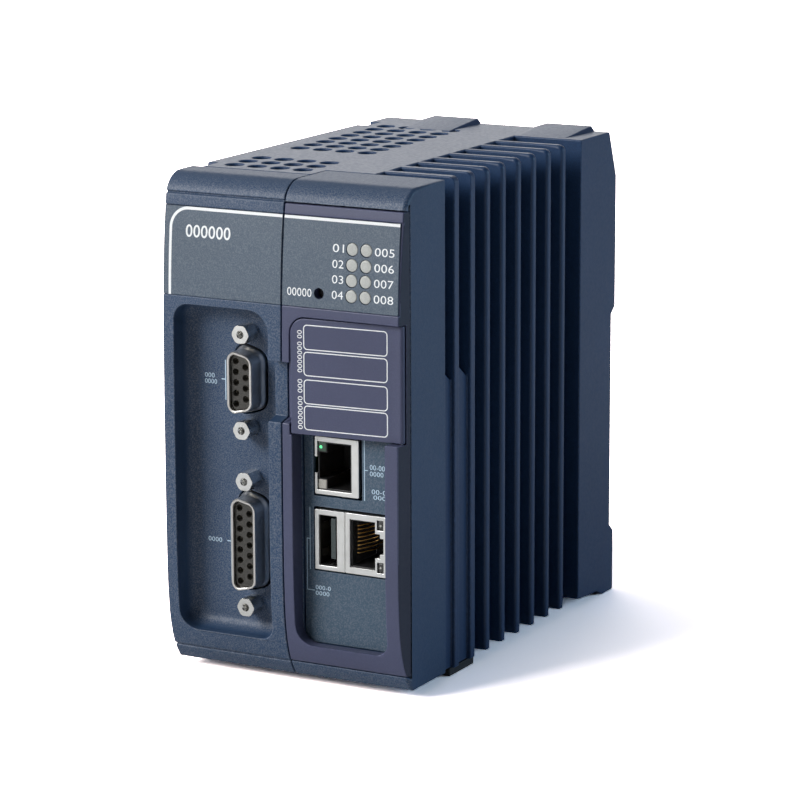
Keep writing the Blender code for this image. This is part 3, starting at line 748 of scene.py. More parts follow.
def black_finish():
    tone = colours()
    return moulded("black_moulding", tone.black, tuple(c * 3 for c in tone.black), 0.4, 0.45,
                   0.35 * MM, 0.012 * MM, 0.3)


def ink_finish(name, colour):
    return moulded(name, colour, tuple(c * 0.8 for c in colour), 0.35, 0.6, 0.2 * MM,
                   0.004 * MM, 0.0)


def white_ink():
    return ink_finish("white_ink", colours().stripe)


def pale_ink():
    return ink_finish("pale_ink", colours().ink)


def gold_finish():
    return plated("gold_contacts", colours().gold, roughness=0.2)


# Painted shade: a dark plated finish for the insides of the USB port, which stand in shade.
def shade_lining_finish():
    return plated("painted_shade_lining", (0.10, 0.095, 0.09), roughness=0.45)


def clear_finish(name, colour, glow=0.0):
    """Frosted lens: pale plastic with light scattered in its skin."""
    if name in bpy.data.materials:
        return bpy.data.materials[name]
    material, tree, shader = start_material(name)
    grained = put_group(tree, grain_group(), {
        "Colour": (*colour, 1), "Speckle": (*(min(1, c * 1.25) for c in colour), 1),
        "Speckle Amount": 0.6, "Grain Size": 0.35 * MM, "Roughness": 0.32, "Gloss Spread": 0.15})
    tree.links.new(grained.outputs["Colour"], shader.inputs["Base Color"])
    tree.links.new(grained.outputs["Roughness"], shader.inputs["Roughness"])
    shader.inputs["Coat Weight"].default_value = 0.4
    shader.inputs["Coat Roughness"].default_value = 0.15
    if glow:
        tree.links.new(grained.outputs["Colour"], shader.inputs["Emission Color"])
        shader.inputs["Emission Strength"].default_value = glow
    add_bump(tree, shader, grained.outputs["Height"], 0.010 * MM)
    return material


# The pieces, one operator for each or for a group of like ones.

def front_shell(name, x0, x1, rear):
    outline = [(front_y(z), z) for z in front_heights(0.0, HEIGHT)] + [(rear, HEIGHT), (rear, 0.0)]
    return solid(name, lambda bm: prism(bm, outline, "x", x0, x1))


def scoop(bm, x0, x1):
    """Finger scoop across the seam, with a slanted lower end."""
    low, high = SCOOP_Z
    outline = ([(-3, low - 0.8), (0, low), (SCOOP_FLOOR, low + 1.0)]
               + arc(SCOOP_FLOOR - 0.6, high - 0.6, 0.6, 0, 90, 3) + [(-3, high)])
    prism(bm, outline, "x", x0, x1)


class MODULE_OT_left_bezel(bpy.types.Operator):
    """Left half of the front with its deep recess for the serial sockets"""
    bl_idname = "module.left_bezel"
    bl_label = "Left bezel"
    bl_options = {"REGISTER", "UNDO"}

    def execute(self, context):
        bezel = front_shell("left_bezel_shell", 0.0, SEAM - GAP, LEFT_REAR)
        carve_boxes(bezel, [(2.0, 32.8, 9.3, 17, 2.2, 126.2)])
        fillet = sizes().recess_fillet / MM
        x0, x1, z0, z1 = RECESS
        corners = (5, 4, 6, 4)

        def recess(bm):
            rings = []
            for i in range(8):
                angle = math.radians(90 * i / 7)
                inset = fillet * (1 - math.sin(angle))
                radii = [r - 0.6 * inset for r in corners]
                outline = rounded(x0 + inset, x1 - inset * 0.6, z0 + inset, z1 - inset, radii, 8)
                rings.append((RECESS_FLOOR - fillet * (1 - math.cos(angle)), outline))
            rings.append((-3, rounded(x0, x1, z0, z1, corners, 8)))
            loft(bm, rings, "y")
        carve(bezel, recess)
        carve(bezel, lambda bm: scoop(bm, 30.5, SEAM + 1))

        def holes(bm):
            for tag, (x, z, _, _, spacing) in SERIAL.items():
                prism(bm, serial_outline(tag, 1.3), "y", 6, 11)
                for side in (-1, 1):
                    rod(bm, x, z + side * spacing / 2, 1.9, "y", 6, 11)
        carve(bezel, holes)

        def lines(bm):
            """Seat of the overlay, and a groove above and below."""
            for low, high, deep in ((LABEL_Z[0] - 0.12, LABEL_Z[1] + 0.12, 0.45),
                                    (123.35, 123.85, 0.6), (3.75, 4.2, 0.6)):
                prism(bm, curve_band(low, high, -2, deep), "x", -1, SEAM + 1)
        carve(bezel, lines)
        round_edges(bezel, sizes().edge)
        dress(bezel, body_finish(), replaces=["left_bezel"])

        def marks(bm):
            for x, low, high, tick in ((14.2, 69.8, 80.3, 75.2), (15.2, 22.9, 41.8, 32.4)):
                ribbon(bm, [(x, low), (x, high)], 0.28)
                ribbon(bm, [(x - 1.2, tick), (x - 0.14, tick)], 0.28)
            digits(bm, "000", 8.0, 10.9, 75.3, 76.5)
            digits(bm, "0000", 8.0, 11.6, 73.7, 74.9)
            digits(bm, "0000", 8.3, 12.4, 31.8, 33.0)
        printed("recess_marks", marks, lambda x, z: RECESS_FLOOR, pale_ink(), "root", "left_bezel")
        return {"FINISHED"}


class MODULE_OT_right_bezel(bpy.types.Operator):
    """Right half of the front: cap, chin and the side strip in front of the fins"""
    bl_idname = "module.right_bezel"
    bl_label = "Right bezel"
    bl_options = {"REGISTER", "UNDO"}

    def execute(self, context):
        bezel = front_shell("right_bezel_shell", SEAM + GAP, WIDTH, RIGHT_REAR)
        carve_boxes(bezel, [
            (SEAM - 1, WIDTH + 1, -3, FRAME_REAR + 0.15, 4.0, 123.5),
            (36.9, WIDTH - 2, 7.3, RIGHT_REAR - 1.5, 2.2, 126.2),
            (36.9, WIDTH - 2, 12, 25, 2.2, 74.0), (36.9, 46.3, 12, 25, 70.0, 126.2),
            (38.0, 66.0, 5, 8, 9.0, 121.0)])
        outer = LEFT + (WIDTH - 1) * MM

        def weight(middle, direction):
            if middle.x < outer or abs(direction.x) > 0.5 or middle.y > FRONT + 12 * MM:
                return 0.25
            return 0.12 if UNDER + 20 * MM < middle.z < UNDER + 110 * MM else 1.0
        round_edges(bezel, 1.2 * MM, 4, weight=weight)
        dress(bezel, body_finish(), replaces=["right_bezel"])
        return {"FINISHED"}


class MODULE_OT_overlays(bpy.types.Operator):
    """Printed overlays with their stripe and numerals"""
    bl_idname = "module.overlays"
    bl_label = "Overlays"
    bl_options = {"REGISTER", "UNDO"}

    def execute(self, context):
        left = solid("left_overlay", lambda bm: prism(
            bm, curve_band(*LABEL_Z, 0.0, 0.38), "x", 0.12, SEAM - 0.25))
        round_edges(left, 0.06 * MM, 1)
        dress(left, overlay_finish(), replaces=["left_label"])
        right = solid("right_overlay", lambda bm: prism(
            bm, curve_band(*LABEL_Z, 0.0, 0.38), "x", SEAM + 0.25, 68.2))
        carve(right, lambda bm: lamp_holes(bm, 0.12, 1.4, 32))
        round_edges(right, 0.05 * MM, 1)
        dress(right, overlay_finish(), replaces=["right_label"])
        stripe = sizes().stripe / MM
        top = LABEL_Z[1] - stripe / 2 - 0.05
        left_x = 2.1

        def left_marks(bm):
            bend = arc(left_x + 5, top - 5, 5, 180, 90, 12)
            ribbon(bm, spaced([(left_x, LABEL_Z[0])] + bend + [(SEAM - 0.3, top)]), stripe)
            digits(bm, "000000", 6.6, 19.8, 112.6, 115.8, bold=0.01)
        printed("left_overlay_marks", left_marks, lambda x, z: front_y(z), white_ink(), "root",
                "left_label")

        def right_marks(bm):
            ribbon(bm, [(SEAM + 0.3, top), (68.15, top)], stripe)
            for i, z in enumerate(LAMP_Z):
                digits(bm, "0%d" % (i + 1), 49.5, 52.7, z - 0.95, z + 1.1)
                digits(bm, "00%d" % (i + 5), 61.4, 66.9, z - 1.1, z + 0.95)
            digits(bm, "00000", 36.7, 43.7, RESET_XZ[1] - 1.05, RESET_XZ[1] + 1.0)
        printed("right_overlay_marks", right_marks, lambda x, z: front_y(z), white_ink(), "root",
                "right_label")
        return {"FINISHED"}


class MODULE_OT_port_frame(bpy.types.Operator):
    """Frame round the port window, with the seat of the address door"""
    bl_idname = "module.port_frame"
    bl_label = "Port frame"
    bl_options = {"REGISTER", "UNDO"}

    def execute(self, context):
        heights = front_heights(*FRAME_Z)
        outline = ([(front_y(z), z) for z in heights]
                   + [(FRAME_REAR, FRAME_Z[1]), (FRAME_REAR, FRAME_Z[0])])
        shell = solid("port_frame_shell", lambda bm: prism(bm, outline, "x", SEAM + GAP, 69.3))
        corner = [(68.1, -1.0), (69.35, 5.3), (71, 5.3), (71, -3), (68.1, -3)]
        carve(shell, lambda bm: prism(bm, corner, "z", -1, 130))
        carve(shell, lambda bm: prism(bm, rounded(*WINDOW, (5, 4, 0.2, 4.8), 8), "y", -3, 7))
        low, high = DOOR_Z[0] - 0.3, DOOR_Z[1] + 0.3
        seat = [(37.3, low), (71, low), (71, high)] + arc(41.6, high - 4.3, 4.3, 90, 180, 10)
        carve(shell, lambda bm: prism(bm, seat, "y", -3, 3.65))
        carve(shell, lambda bm: rod(bm, *DOOR_AXIS, DOOR_BARREL + 0.27, "z", low, high))
        carve(shell, lambda bm: scoop(bm, SEAM - 1, 37.7))
        carve_boxes(shell, [(37.2, 66.4, 3.6, 6, 99.0, 117.5)])
        carve(shell, lambda bm: lamp_holes(bm, 0.1, 1.5))
        carve(shell, lambda bm: prism(
            bm, curve_band(LABEL_Z[0] - 0.12, LABEL_Z[1] + 0.12, -2, 0.45), "x", SEAM - 1, 70))
        side, rear = LEFT + 65.5 * MM, FRONT + (FRAME_REAR - 0.3) * MM
        seat_low, seat_high = UNDER + (low - 0.5) * MM, UNDER + (high + 0.5) * MM

        def weight(middle, direction):
            near_barrel = seat_low < middle.z < seat_high
            return 0.2 if middle.x > side and (middle.y > rear or near_barrel) else 1.0
        round_edges(shell, sizes().edge, weight=weight)
        trim_right(shell)
        dress(shell, frame_finish(), replaces=["port_frame"])
        # Painted shade: the frame's right-hand side return takes a darker copy of the frame finish,
        # for the shade on that side.
        tone = colours().frame
        shell.data.materials.append(moulded(
            "frame_side_shade", tuple(c * 0.35 for c in tone), tone, 0.15, 0.5, 0.25 * MM, 0.008 * MM,
            0.2, 0.3))
        for polygon in shell.data.polygons:
            if polygon.normal.x > 0.9 and polygon.center.x > LEFT + 67.5 * MM:
                polygon.material_index = 1
        return {"FINISHED"}


class MODULE_OT_address_door(bpy.types.Operator):
    """Hinged door with four write-on boxes"""
    bl_idname = "module.address_door"
    bl_label = "Address door"
    bl_options = {"REGISTER", "UNDO"}

    def execute(self, context):
        z0, z1 = DOOR_Z
        (x0, y0), (x1, y1) = DOOR_FACE
        ax, ay = DOOR_AXIS
        outline = (list(DOOR_FACE) + arc(ax, ay, DOOR_BARREL, -100, 150, 24)
                   + [(66.4, 3.35), (64.0, 3.3), (37.6, 1.6)])
        door = solid("address_door_leaf", lambda bm: prism(bm, outline, "z", z0, z1))
        carve(door, lambda bm: rod(bm, ax, ay, 0.66, "z", z0 - 1, z1 + 1, 16))
        corner = ([(x0 - 1, z1 + 1), (x0 - 1, z1 - 4)] + arc(x0 + 4, z1 - 4, 4, 180, 90, 10)
                  + [(x0 + 4, z1 + 1)])
        carve(door, lambda bm: prism(bm, corner, "y", -2, 4))
        round_edges(door, sizes().edge * 0.8)
        dress(door, frame_finish(), "address_door", replaces=["address_door"])
        slope = (y1 - y0) / (x1 - x0)

        def marks(bm):
            for low, high in ((86.8, 93.0), (80.1, 86.1), (72.9, 79.0), (66.2, 72.3)):
                ribbon(bm, rounded(41.4, 64.3, low, high, (0.9,) * 4, 4), 0.26, closed=True)
            digits(bm, "00 0000000", 39.6, 40.9, 80.8, 91.6, -90)
            digits(bm, "000 0000000", 39.6, 40.9, 66.2, 79.1, -90)
        printed("door_marks", marks, lambda x, z: y0 + slope * (x - x0), white_ink(),
                "address_door", "address_door")
        return {"FINISHED"}


class MODULE_OT_port_panel(bpy.types.Operator):
    """Panel that the ports look through, with its brackets and numerals"""
    bl_idname = "module.port_panel"
    bl_label = "Port panel"
    bl_options = {"REGISTER", "UNDO"}

    def execute(self, context):
        panel = solid("port_panel_plate", lambda bm: box(
            bm, 38.3, 65.7, PANEL_FRONT, PANEL_FRONT + 1.3, 9.3, 95.5))

        def holes(bm):
            for (x0, x1, z0, z1), side in ((UPPER_JACK, 0.65), (LOWER_JACK, 0.55)):
                outline = rounded(x0 - side, x1 + side, z0 - side, z1 + side, (0.4,) * 4, 3)
                prism(bm, outline, "y", 5, 8)
            for z in (87.0, 74.0):
                box(bm, 44.9, 50.1, 5, 8, z - 4.0, z + 4.0)
        carve(panel, holes)
        round_edges(panel, 0.15 * MM, 2)
        dress(panel, panel_finish(), replaces=["port_panel"])

        def marks(bm):
            line = 0.2
            ribbon(bm, [(55.75, 48.2), (55.75, 64.0)], line)
            ribbon(bm, [(55.85, 56.1), (56.7, 56.1)], line)
            ribbon(bm, [(39.8, 28.4), (39.8, 44.8)], line)
            ribbon(bm, [(38.9 + line / 2, 36.5), (39.7, 36.5)], line)
            ribbon(bm, [(38.9, 36.6), (38.9, 23.0), (41.0, 23.0)], line)
            for text, *sides in (
                    ("00-00", 57.3, 61.6, 56.4, 57.7), ("0000", 57.3, 61.2, 54.8, 56.0),
                    ("00-0", 57.8, 62.0, 50.2, 51.4), ("000", 58.3, 61.9, 48.8, 49.9),
                    ("000-0", 41.3, 45.7, 23.3, 24.4), ("0000", 41.3, 45.3, 21.8, 22.9)):
                digits(bm, text, *sides)
        printed("panel_marks", marks, lambda x, z: PANEL_FRONT, pale_ink(), "root", "port_panel")
        return {"FINISHED"}


def vent_rows(groups):
    """Places of evenly spaced rows, from each group's first place and its count."""
    return [first + VENT_PITCH * i for first, count in groups for i in range(count)]


def split_plate(obj):
    """Part the top plate into strips between its rows of vents, so that no face has many holes."""
    limit = LEFT + PLATE_RIGHT * MM
    cuts = [((limit, 0, 0), (1, 0, 0))]
    cuts += [(at(0, y, 0), (0, 1, 0)) for y in vent_rows(PLATE_CUTS)]
    bm = bmesh.new()
    bm.from_mesh(obj.data)
    for place, direction in cuts:
        bm.normal_update()
        faces = []
        for face in bm.faces:
            middle = face.calc_center_bounds()
            flat = abs(face.normal.z) > 0.9 and middle.z > UNDER + 126 * MM
            if flat and (direction[0] or middle.x < limit):
                faces.append(face)
        edges = {edge for face in faces for edge in face.edges}
        verts = {vertex for face in faces for vertex in face.verts}
        bmesh.ops.bisect_plane(bm, geom=list(verts) + list(edges) + faces, dist=1e-7,
                               plane_co=place, plane_no=direction)
    bm.to_mesh(obj.data)
    bm.free()


class MODULE_OT_housing(bpy.types.Operator):
    """Cast housing: top plate with vents, fins down the right side and the rear block"""
    bl_idname = "module.housing"
    bl_label = "Finned housing"
    bl_options = {"REGISTER", "UNDO"}

    def execute(self, context):
        outline = [(16.2, 0), (103, 0), (111, -0.6), (115.5, -0.6), (119, -2.4), (DEPTH, -2.4),
                   (DEPTH, 15), (123.4, 17), (123.4, 77.3), (DEPTH, 79.2), (DEPTH, 116),
                   (121.3, HEIGHT), (16.2, HEIGHT)]
        housing = solid("housing_casting", lambda bm: prism(bm, outline, "x", 0.0, WIDTH))

        carve_boxes(housing, [
            (SEAM, WIDTH + 1, 15, 24.0, -1, HEIGHT + 1), (-1, FIN_ROOT - 3, 15, 110.7, 2.2, 126.3),
            (3.0, 66.4, 105.5, 119.5, 2.2, 126.3), (8.0, 61.5, 119, 127, 20.0, 110.0),
            (45.0, 66.6, 23, 36.9, 2.2, 73.0)])
        split_plate(housing)
        radius = 1.8
        corner = arc(WIDTH - radius, HEIGHT - radius, radius, 0, 90, 6)
        corner += [(WIDTH - radius, HEIGHT + 3), (WIDTH + 3, HEIGHT + 3),
                   (WIDTH + 3, HEIGHT - radius)]
        carve(housing, lambda bm: prism(bm, corner, "y", 15, 102.4))
        fins = [FIN_FIRST + FIN_PITCH * i for i in range(FIN_COUNT)]
        starts = [23.0] + [y + FIN_THICK / 2 for y in fins]
        stops = [y - FIN_THICK / 2 for y in fins] + [SLOTS_REAR]

        def slots(bm):
            for i, (y0, y1) in enumerate(zip(starts, stops)):
                if i < 2:
                    ledge = LEDGE_TOP - LEDGE_SLOPE * (y1 - y0)
                    sloped = [(y0, LEDGE_TOP), (y1, ledge), (y1, 140), (y0, 140)]
                    prism(bm, sloped, "x", FIN_ROOT, 71)
                else:
                    box(bm, FIN_ROOT, 71, y0, y1, -5, 140)
        carve(housing, slots)

        def shallow(bm):
            for y0, y1 in zip(starts[:2], stops[:2]):
                box(bm, LEDGE_FACE, 71, y0, y1, -5, LEDGE_TOP + 5)
        carve(housing, shallow)

        def openings(bm):
            """Vents above and below, notches, and room for the drawer, socket and lever."""
            for i in range(VENT_COLUMNS):
                for y in vent_rows(VENT_GROUPS):
                    rod(bm, VENT_X + VENT_SPACING * i, y, VENT_RADIUS, "z", 125, 130,
                        sizes().vent_sides)
            for i in range(6):
                prism(bm, rounded(6 + 6.4 * i, 9 + 6.4 * i, 52, 82, (1.4,) * 4, 6), "z", -1, 3)
            for sides in ((-1, 3, 16, 23.3, 127.7, 130), (-1, 3, 103.2, 110.7, 127.7, 130),
                          (9.5, 22.5, 29.7, 40.3, -1, 3), (49.7, 64.3, 29.6, 36.1, -1, 3),
                          (25.7, 43.7, 88.0, 127, -4, 5.2)):
                box(bm, *sides)
        carve(housing, openings)

        def ears(bm):
            box(bm, 23.0, 25.5, 89, 95, 1.5, 6.5)
            box(bm, 43.9, 46.8, 89, 95, 1.5, 6.5)
        carve(housing, ears, "UNION")
        tip = sizes().fin_tip
        fin_x = LEFT + (WIDTH - 4.0) * MM
        fins_front, fins_rear = FRONT + 41 * MM, FRONT + 98 * MM
        plain = sizes().cast_edge / tip

        def weight(middle, direction):
            on_fin = middle.x > fin_x and fins_front < middle.y < fins_rear
            return 1.0 if on_fin and abs(direction.z) + abs(direction.x) > 0.5 else plain
        round_edges(housing, tip, 3, weight=weight, below=UNDER + 125 * MM)
        dress(housing, casting_finish(), replaces=["finned_housing"])
        self.blacken(housing)

        def hooks(bm):
            """Wedges that rise out of the top plate towards the rear."""
            for left in (0.0, SEAM):
                rings = []
                for y, top in zip(HOOK_RISE, (HEIGHT - 0.05, HEIGHT + HOOK_HIGH)):
                    low, near, far = HEIGHT - 2, 11.1 + left, 29.8 + left
                    rings.append((y, [(near, low), (near, top - 1.4), (15.4 + left, top),
                                      (28.9 + left, top), (far, top - 1.2), (far, low)]))
                loft(bm, rings, "y")
        hook = solid("rack_hooks", hooks)
        round_edges(hook, sizes().edge, 2)
        dress(hook, casting_finish(), slot="finned_housing")
        return {"FINISHED"}

    def blacken(self, housing):
        """Dark finish on the walls of the inner space."""
        housing.data.materials.append(black_finish())
        low, high = at(*HALL_LOW), at(*HALL_HIGH)
        for polygon in housing.data.polygons:
            if all(a < c < b for a, c, b in zip(low, polygon.center, high)):
                polygon.material_index = 1


class MODULE_OT_serial_sockets(bpy.types.Operator):
    """Both serial sockets: plated shells, insulators, contacts and jack screws"""
    bl_idname = "module.serial_sockets"
    bl_label = "Serial sockets"
    bl_options = {"REGISTER", "UNDO"}

    def execute(self, context):
        for tag in SERIAL:
            self.socket(tag)
        return {"FINISHED"}

    def socket(self, tag):
        x, z, _, positions, spacing = SERIAL[tag]
        outer = [(9.4, 0.80), (7.3, 0.80), (6.95, 0.68), (6.6, 0.38), (6.3, 0.12), (5.9, 0.0),
                 (1.95, 0.0), (1.62, -0.08), (SERIAL_FRONT, -0.22), (SERIAL_FRONT, -0.60),
                 (1.60, -0.74), (1.90, -0.80), (9.4, -0.80)]
        shell = solid("serial_shell_plated_" + tag, lambda bm: loft(
            bm, [(y, serial_outline(tag, grow, 8)) for y, grow in outer], "y", ends=False))
        shade(shell)
        dress(shell, plated("nickel_shell", colours().nickel, (0.40, 0.38, 0.35), 0.32, 0.10),
              replaces=["serial_shell_" + tag])
        insulator = solid("serial_insulator_body_" + tag, lambda bm: loft(
            bm, [(17.0, serial_outline(tag, -0.84)), (2.65, serial_outline(tag, -0.84)),
                 (2.45, serial_outline(tag, -1.0))], "y"))
        long_row = (positions + 1) // 2
        centres = [(x + side * 1.42, z + (i - (count - 1) / 2) * 2.77)
                   for count, side in ((long_row, -1), (positions - long_row, 1))
                   for i in range(count)]

        def sinks(bm):
            for cx, cz in centres:
                turned(bm, cx, cz, "y", [(1.0, 0.95), (2.46, 0.92), (2.85, 0.70), (7.5, 0.70)], 18)
        carve(insulator, sinks)
        shade(insulator, 30)
        dress(insulator, moulded("insulator", (0.036, 0.034, 0.030), (0.095, 0.09, 0.08), 0.5, 0.42,
                                 0.3 * MM, 0.01 * MM, 0.2), replaces=["serial_insulator_" + tag])

        def sleeves(bm):
            for cx, cz in centres:
                turned(bm, cx, cz, "y", [(4.0, 0.64), (7.4, 0.64), (7.4, 0.34), (4.0, 0.40)], 14,
                       ends=False)
        sleeve = solid("serial_contacts_" + tag, sleeves)
        shade(sleeve)
        dress(sleeve, plated("contact_plating", (0.75, 0.68, 0.52), roughness=0.22),
              slot="jack_screw_9_lower")
        for side, spot in ((-1, "lower"), (1, "upper")):
            name = "jack_screw_%s_%s" % (tag, spot)
            cz = z + side * spacing / 2
            screw = solid(name + "_turned", lambda bm, cz=cz: self.jack_screw(bm, x, cz))
            shade(screw, 30)
            dress(screw, plated("bright_screw", colours().bright, (0.45, 0.43, 0.38), 0.22, 0.3),
                  replaces=[name])

    def jack_screw(self, bm, cx, cz):
        """Hexagonal screw with a tapped hole."""
        def hexagon(size, radius):
            points = []
            for i in range(36):
                angle = math.radians(10 * i)
                off = math.radians((10 * i) % 60 - 30)
                r = min(radius, size / math.cos(off))
                points.append((cx + r * math.cos(angle), cz + r * math.sin(angle)))
            return points
        rings = [(8.2, hexagon(2.36, 2.6)), (2.6, hexagon(2.36, 2.6)), (2.36, hexagon(2.33, 2.5)),
                 (2.3, hexagon(2.27, 2.4)), (2.3, hexagon(2.0, 1.05)), (2.5, hexagon(2.0, 0.9))]
        for i in range(8):
            rings.append((2.7 + 0.4 * i, hexagon(2.0, 0.76)))
            rings.append((2.9 + 0.4 * i, hexagon(2.0, 0.9)))
        rings.append((6.1, hexagon(2.0, 0.7)))
        loft(bm, rings, "y")


class MODULE_OT_network_ports(bpy.types.Operator):
    """Network and USB ports: shields, liners, contacts and small lamps"""
    bl_idname = "module.network_ports"
    bl_label = "Network ports"
    bl_options = {"REGISTER", "UNDO"}

    def execute(self, context):
        self.shield("upper_port_shield", UPPER_JACK, "upper_jack_shield", 24.0, (
            (42.35, 52.2, 4, 20, 49.8, 62.3), (41.2, 42.6, 4, 8, 54.1, 58.3)))
        self.liner("upper_port_liner", (42.36, 52.19, 5.7, 19.9, 49.81, 62.29), (
            (45.0, 51.7, 5.0, 18.5, 50.2, 61.9), (42.7, 45.2, 5.0, 18.5, 52.7, 59.5)))
        self.wires("upper_port_contacts", 51.3, -1, 56.1, "upper_jack_contacts")
        self.shield("lower_port_shield", LOWER_JACK, "usb_network_shield", 30.0, (
            (42.65, 47.85, 4, 19, 30.0, 43.2), (51.65, 58.9, 4, 20, 30.5, 43.0),
            (58.8, 60.3, 4, 18, 33.7, 40.0), (60.2, 61.3, 4, 17, 34.8, 38.9),
            (59.5, 61.3, 4, 9, 41.0, 43.6), (59.5, 61.3, 4, 9, 29.9, 32.6),
            (50.1, 50.4, 4, 5.5, 27, 46)))
        self.liner("lower_port_liner", (51.66, 58.89, 5.9, 19.9, 30.51, 42.99), (
            (52.0, 59.5, 5.0, 18.5, 30.9, 42.6),))
        self.wires("lower_port_contacts", 52.5, 1, 37.4, "lower_jack_contacts")
        self.usb()
        self.lamps()
        return {"FINISHED"}

    def shield(self, name, sides, node, rear, cuts):
        outline = rounded(*sides, (0.35,) * 4, 3)
        body = solid(name, lambda bm: prism(bm, outline, "y", JACK_FRONT, rear))
        carve_boxes(body, cuts)
        round_edges(body, 0.14 * MM, 2)
        dress(body, plated("tin_shield", colours().bright, (0.55, 0.54, 0.50), 0.38, 0.2),
              replaces=[node])

    def liner(self, name, sides, cuts):
        body = solid(name, lambda bm: box(bm, *sides))
        carve_boxes(body, cuts)
        round_edges(body, 0.08 * MM, 1)
        dress(body, black_finish(), slot="usb_tongue")

    def wires(self, name, x, way, middle, node):
        """Eight sprung wires that lean into the port."""
        def build(bm):
            path = [(x + lean * way, y) for lean, y in (
                (0, 7.6), (0.4, 8.0), (2.1, 12.6), (2.2, 16.5), (2.45, 16.5), (2.35, 12.5),
                (0.7, 8.0), (0.2, 7.4))]
            for i in range(8):
                z = middle + (i - 3.5) * 1.02
                prism(bm, path, "z", z - 0.2, z + 0.2)
        wires = solid(name, build)
        round_edges(wires, 0.05 * MM, 1)
        dress(wires, gold_finish(), replaces=[node])

    def usb(self):
        tongue = solid("usb_tongue_body", lambda bm: box(bm, 45.6, 47.0, 6.2, 18.7, 31.7, 42.3))
        round_edges(tongue, 0.18 * MM, 2)
        dress(tongue, moulded("tongue_plastic", (0.045, 0.06, 0.06), (0.09, 0.11, 0.11), 0.4, 0.4),
              replaces=["usb_tongue"])

        def pads(bm):
            for z in (33.5, 36.0, 38.0, 40.5):
                box(bm, 45.5, 45.75, 7.4, 16.0, z - 0.5, z + 0.5)
        pad = solid("usb_contacts", pads)
        round_edges(pad, 0.06 * MM, 1)
        dress(pad, gold_finish(), slot="lower_jack_contacts")

        # Painted shade: dark sheets laid inside the bright shield, where the port is in shade.
        def walls(bm):
            box(bm, 42.66, 42.86, 5.6, 18.9, 30.2, 43.0)
            box(bm, 47.6, 47.84, 5.6, 18.9, 30.2, 43.0)
            box(bm, 42.66, 47.84, 18.7, 18.95, 30.05, 43.15)
        dress(solid("usb_shade_lining", walls), shade_lining_finish(), slot="usb_network_shield")

        # The springs take the same dark finish: painted shade.
        def springs(bm):
            for z in (33.0, 40.0):
                prism(bm, [(42.86, 6.6), (43.5, 9.0), (42.9, 11.6), (42.86, 11.2)], "z",
                      z - 1.0, z + 1.0)
            for x in (44.2, 46.3):
                prism(bm, [(6.6, 43.2), (9.0, 42.55), (11.6, 43.15)], "x", x - 0.5, x + 0.5)
                prism(bm, [(6.6, 30.0), (9.0, 30.65), (11.6, 30.05)], "x", x - 0.5, x + 0.5)
        dress(solid("usb_springs", springs), shade_lining_finish(), slot="usb_network_shield")

    def lamps(self):
        green = clear_finish("green_lens", (0.045, 0.085, 0.055))
        lit = clear_finish("lit_green", (0.10, 0.75, 0.28), 1.2)
        shine = clear_finish("painted_glint_spot", (0.50, 0.50, 0.46))
        pale = clear_finish("clear_lens", (0.42, 0.40, 0.36))
        dark = clear_finish("smoked_lens", (0.035, 0.035, 0.033))
        for node, x0, x1, z0, z1, finish in (
                ("upper_link_lens", 42.5, 44.85, 59.7, 62.15, green),
                ("upper_activity_lens", 42.5, 44.85, 50.0, 52.45, pale),
                ("lower_link_lens", 59.65, 61.15, 41.2, 43.45, dark),
                ("lower_activity_lens", 59.65, 61.15, 30.1, 32.4, dark)):
            lens = solid(node + "_moulding", lambda bm, x0=x0, x1=x1, z0=z0, z1=z1: box(
                bm, x0, x1, 5.5, 8.8, z0, z1))
            round_edges(lens, 0.25 * MM, 3)
            dress(lens, finish, replaces=[node])
        # Painted highlight: the pale spots on the smoked lenses stand for glints of light; the
        # green spot is the lit lamp.
        for node, x, z, radius, finish in (
                ("upper_link_lens", 43.3, 60.9, 0.42, lit),
                ("lower_link_lens", 60.4, 42.2, 0.30, shine),
                ("lower_activity_lens", 60.4, 31.2, 0.30, shine)):
            profile = [(5.9, radius), (5.5, radius), (5.42, radius * 0.7), (5.38, radius * 0.3)]
            spot = solid(node + "_spot", lambda bm, x=x, z=z, profile=profile: turned(
                bm, x, z, "y", profile, 16))
            shade(spot)
            dress(spot, finish, slot=node)


class MODULE_OT_status_lamps(bpy.types.Operator):
    """Eight domed lamp lenses on one moulding"""
    bl_idname = "module.status_lamps"
    bl_label = "Status lamps"
    bl_options = {"REGISTER", "UNDO"}

    def execute(self, context):
        def lenses(bm):
            for x in LAMP_X:
                for z in LAMP_Z:
                    y = front_y(z)
                    profile = [(12.6, LAMP_RADIUS), (y + 0.22, LAMP_RADIUS)]
                    for angle in (math.radians(a) for a in (30, 60, 90)):
                        profile.append((y + 0.22 - 0.2 * math.sin(angle),
                                        LAMP_RADIUS - 0.22 + 0.22 * math.cos(angle)))
                    profile += [(y - 0.02, 0.9), (y - 0.05, 0.3)]
                    turned(bm, x, z, "y", profile, 32)
            box(bm, 52.8, 61.2, 12.65, 14.2, 99.0, 115.4)
        lens = solid("lamp_lenses", lenses)
        shade(lens, 50)
        dress(lens, clear_finish("lamp_lens", colours().lamp), replaces=["light_pipes"])
        return {"FINISHED"}


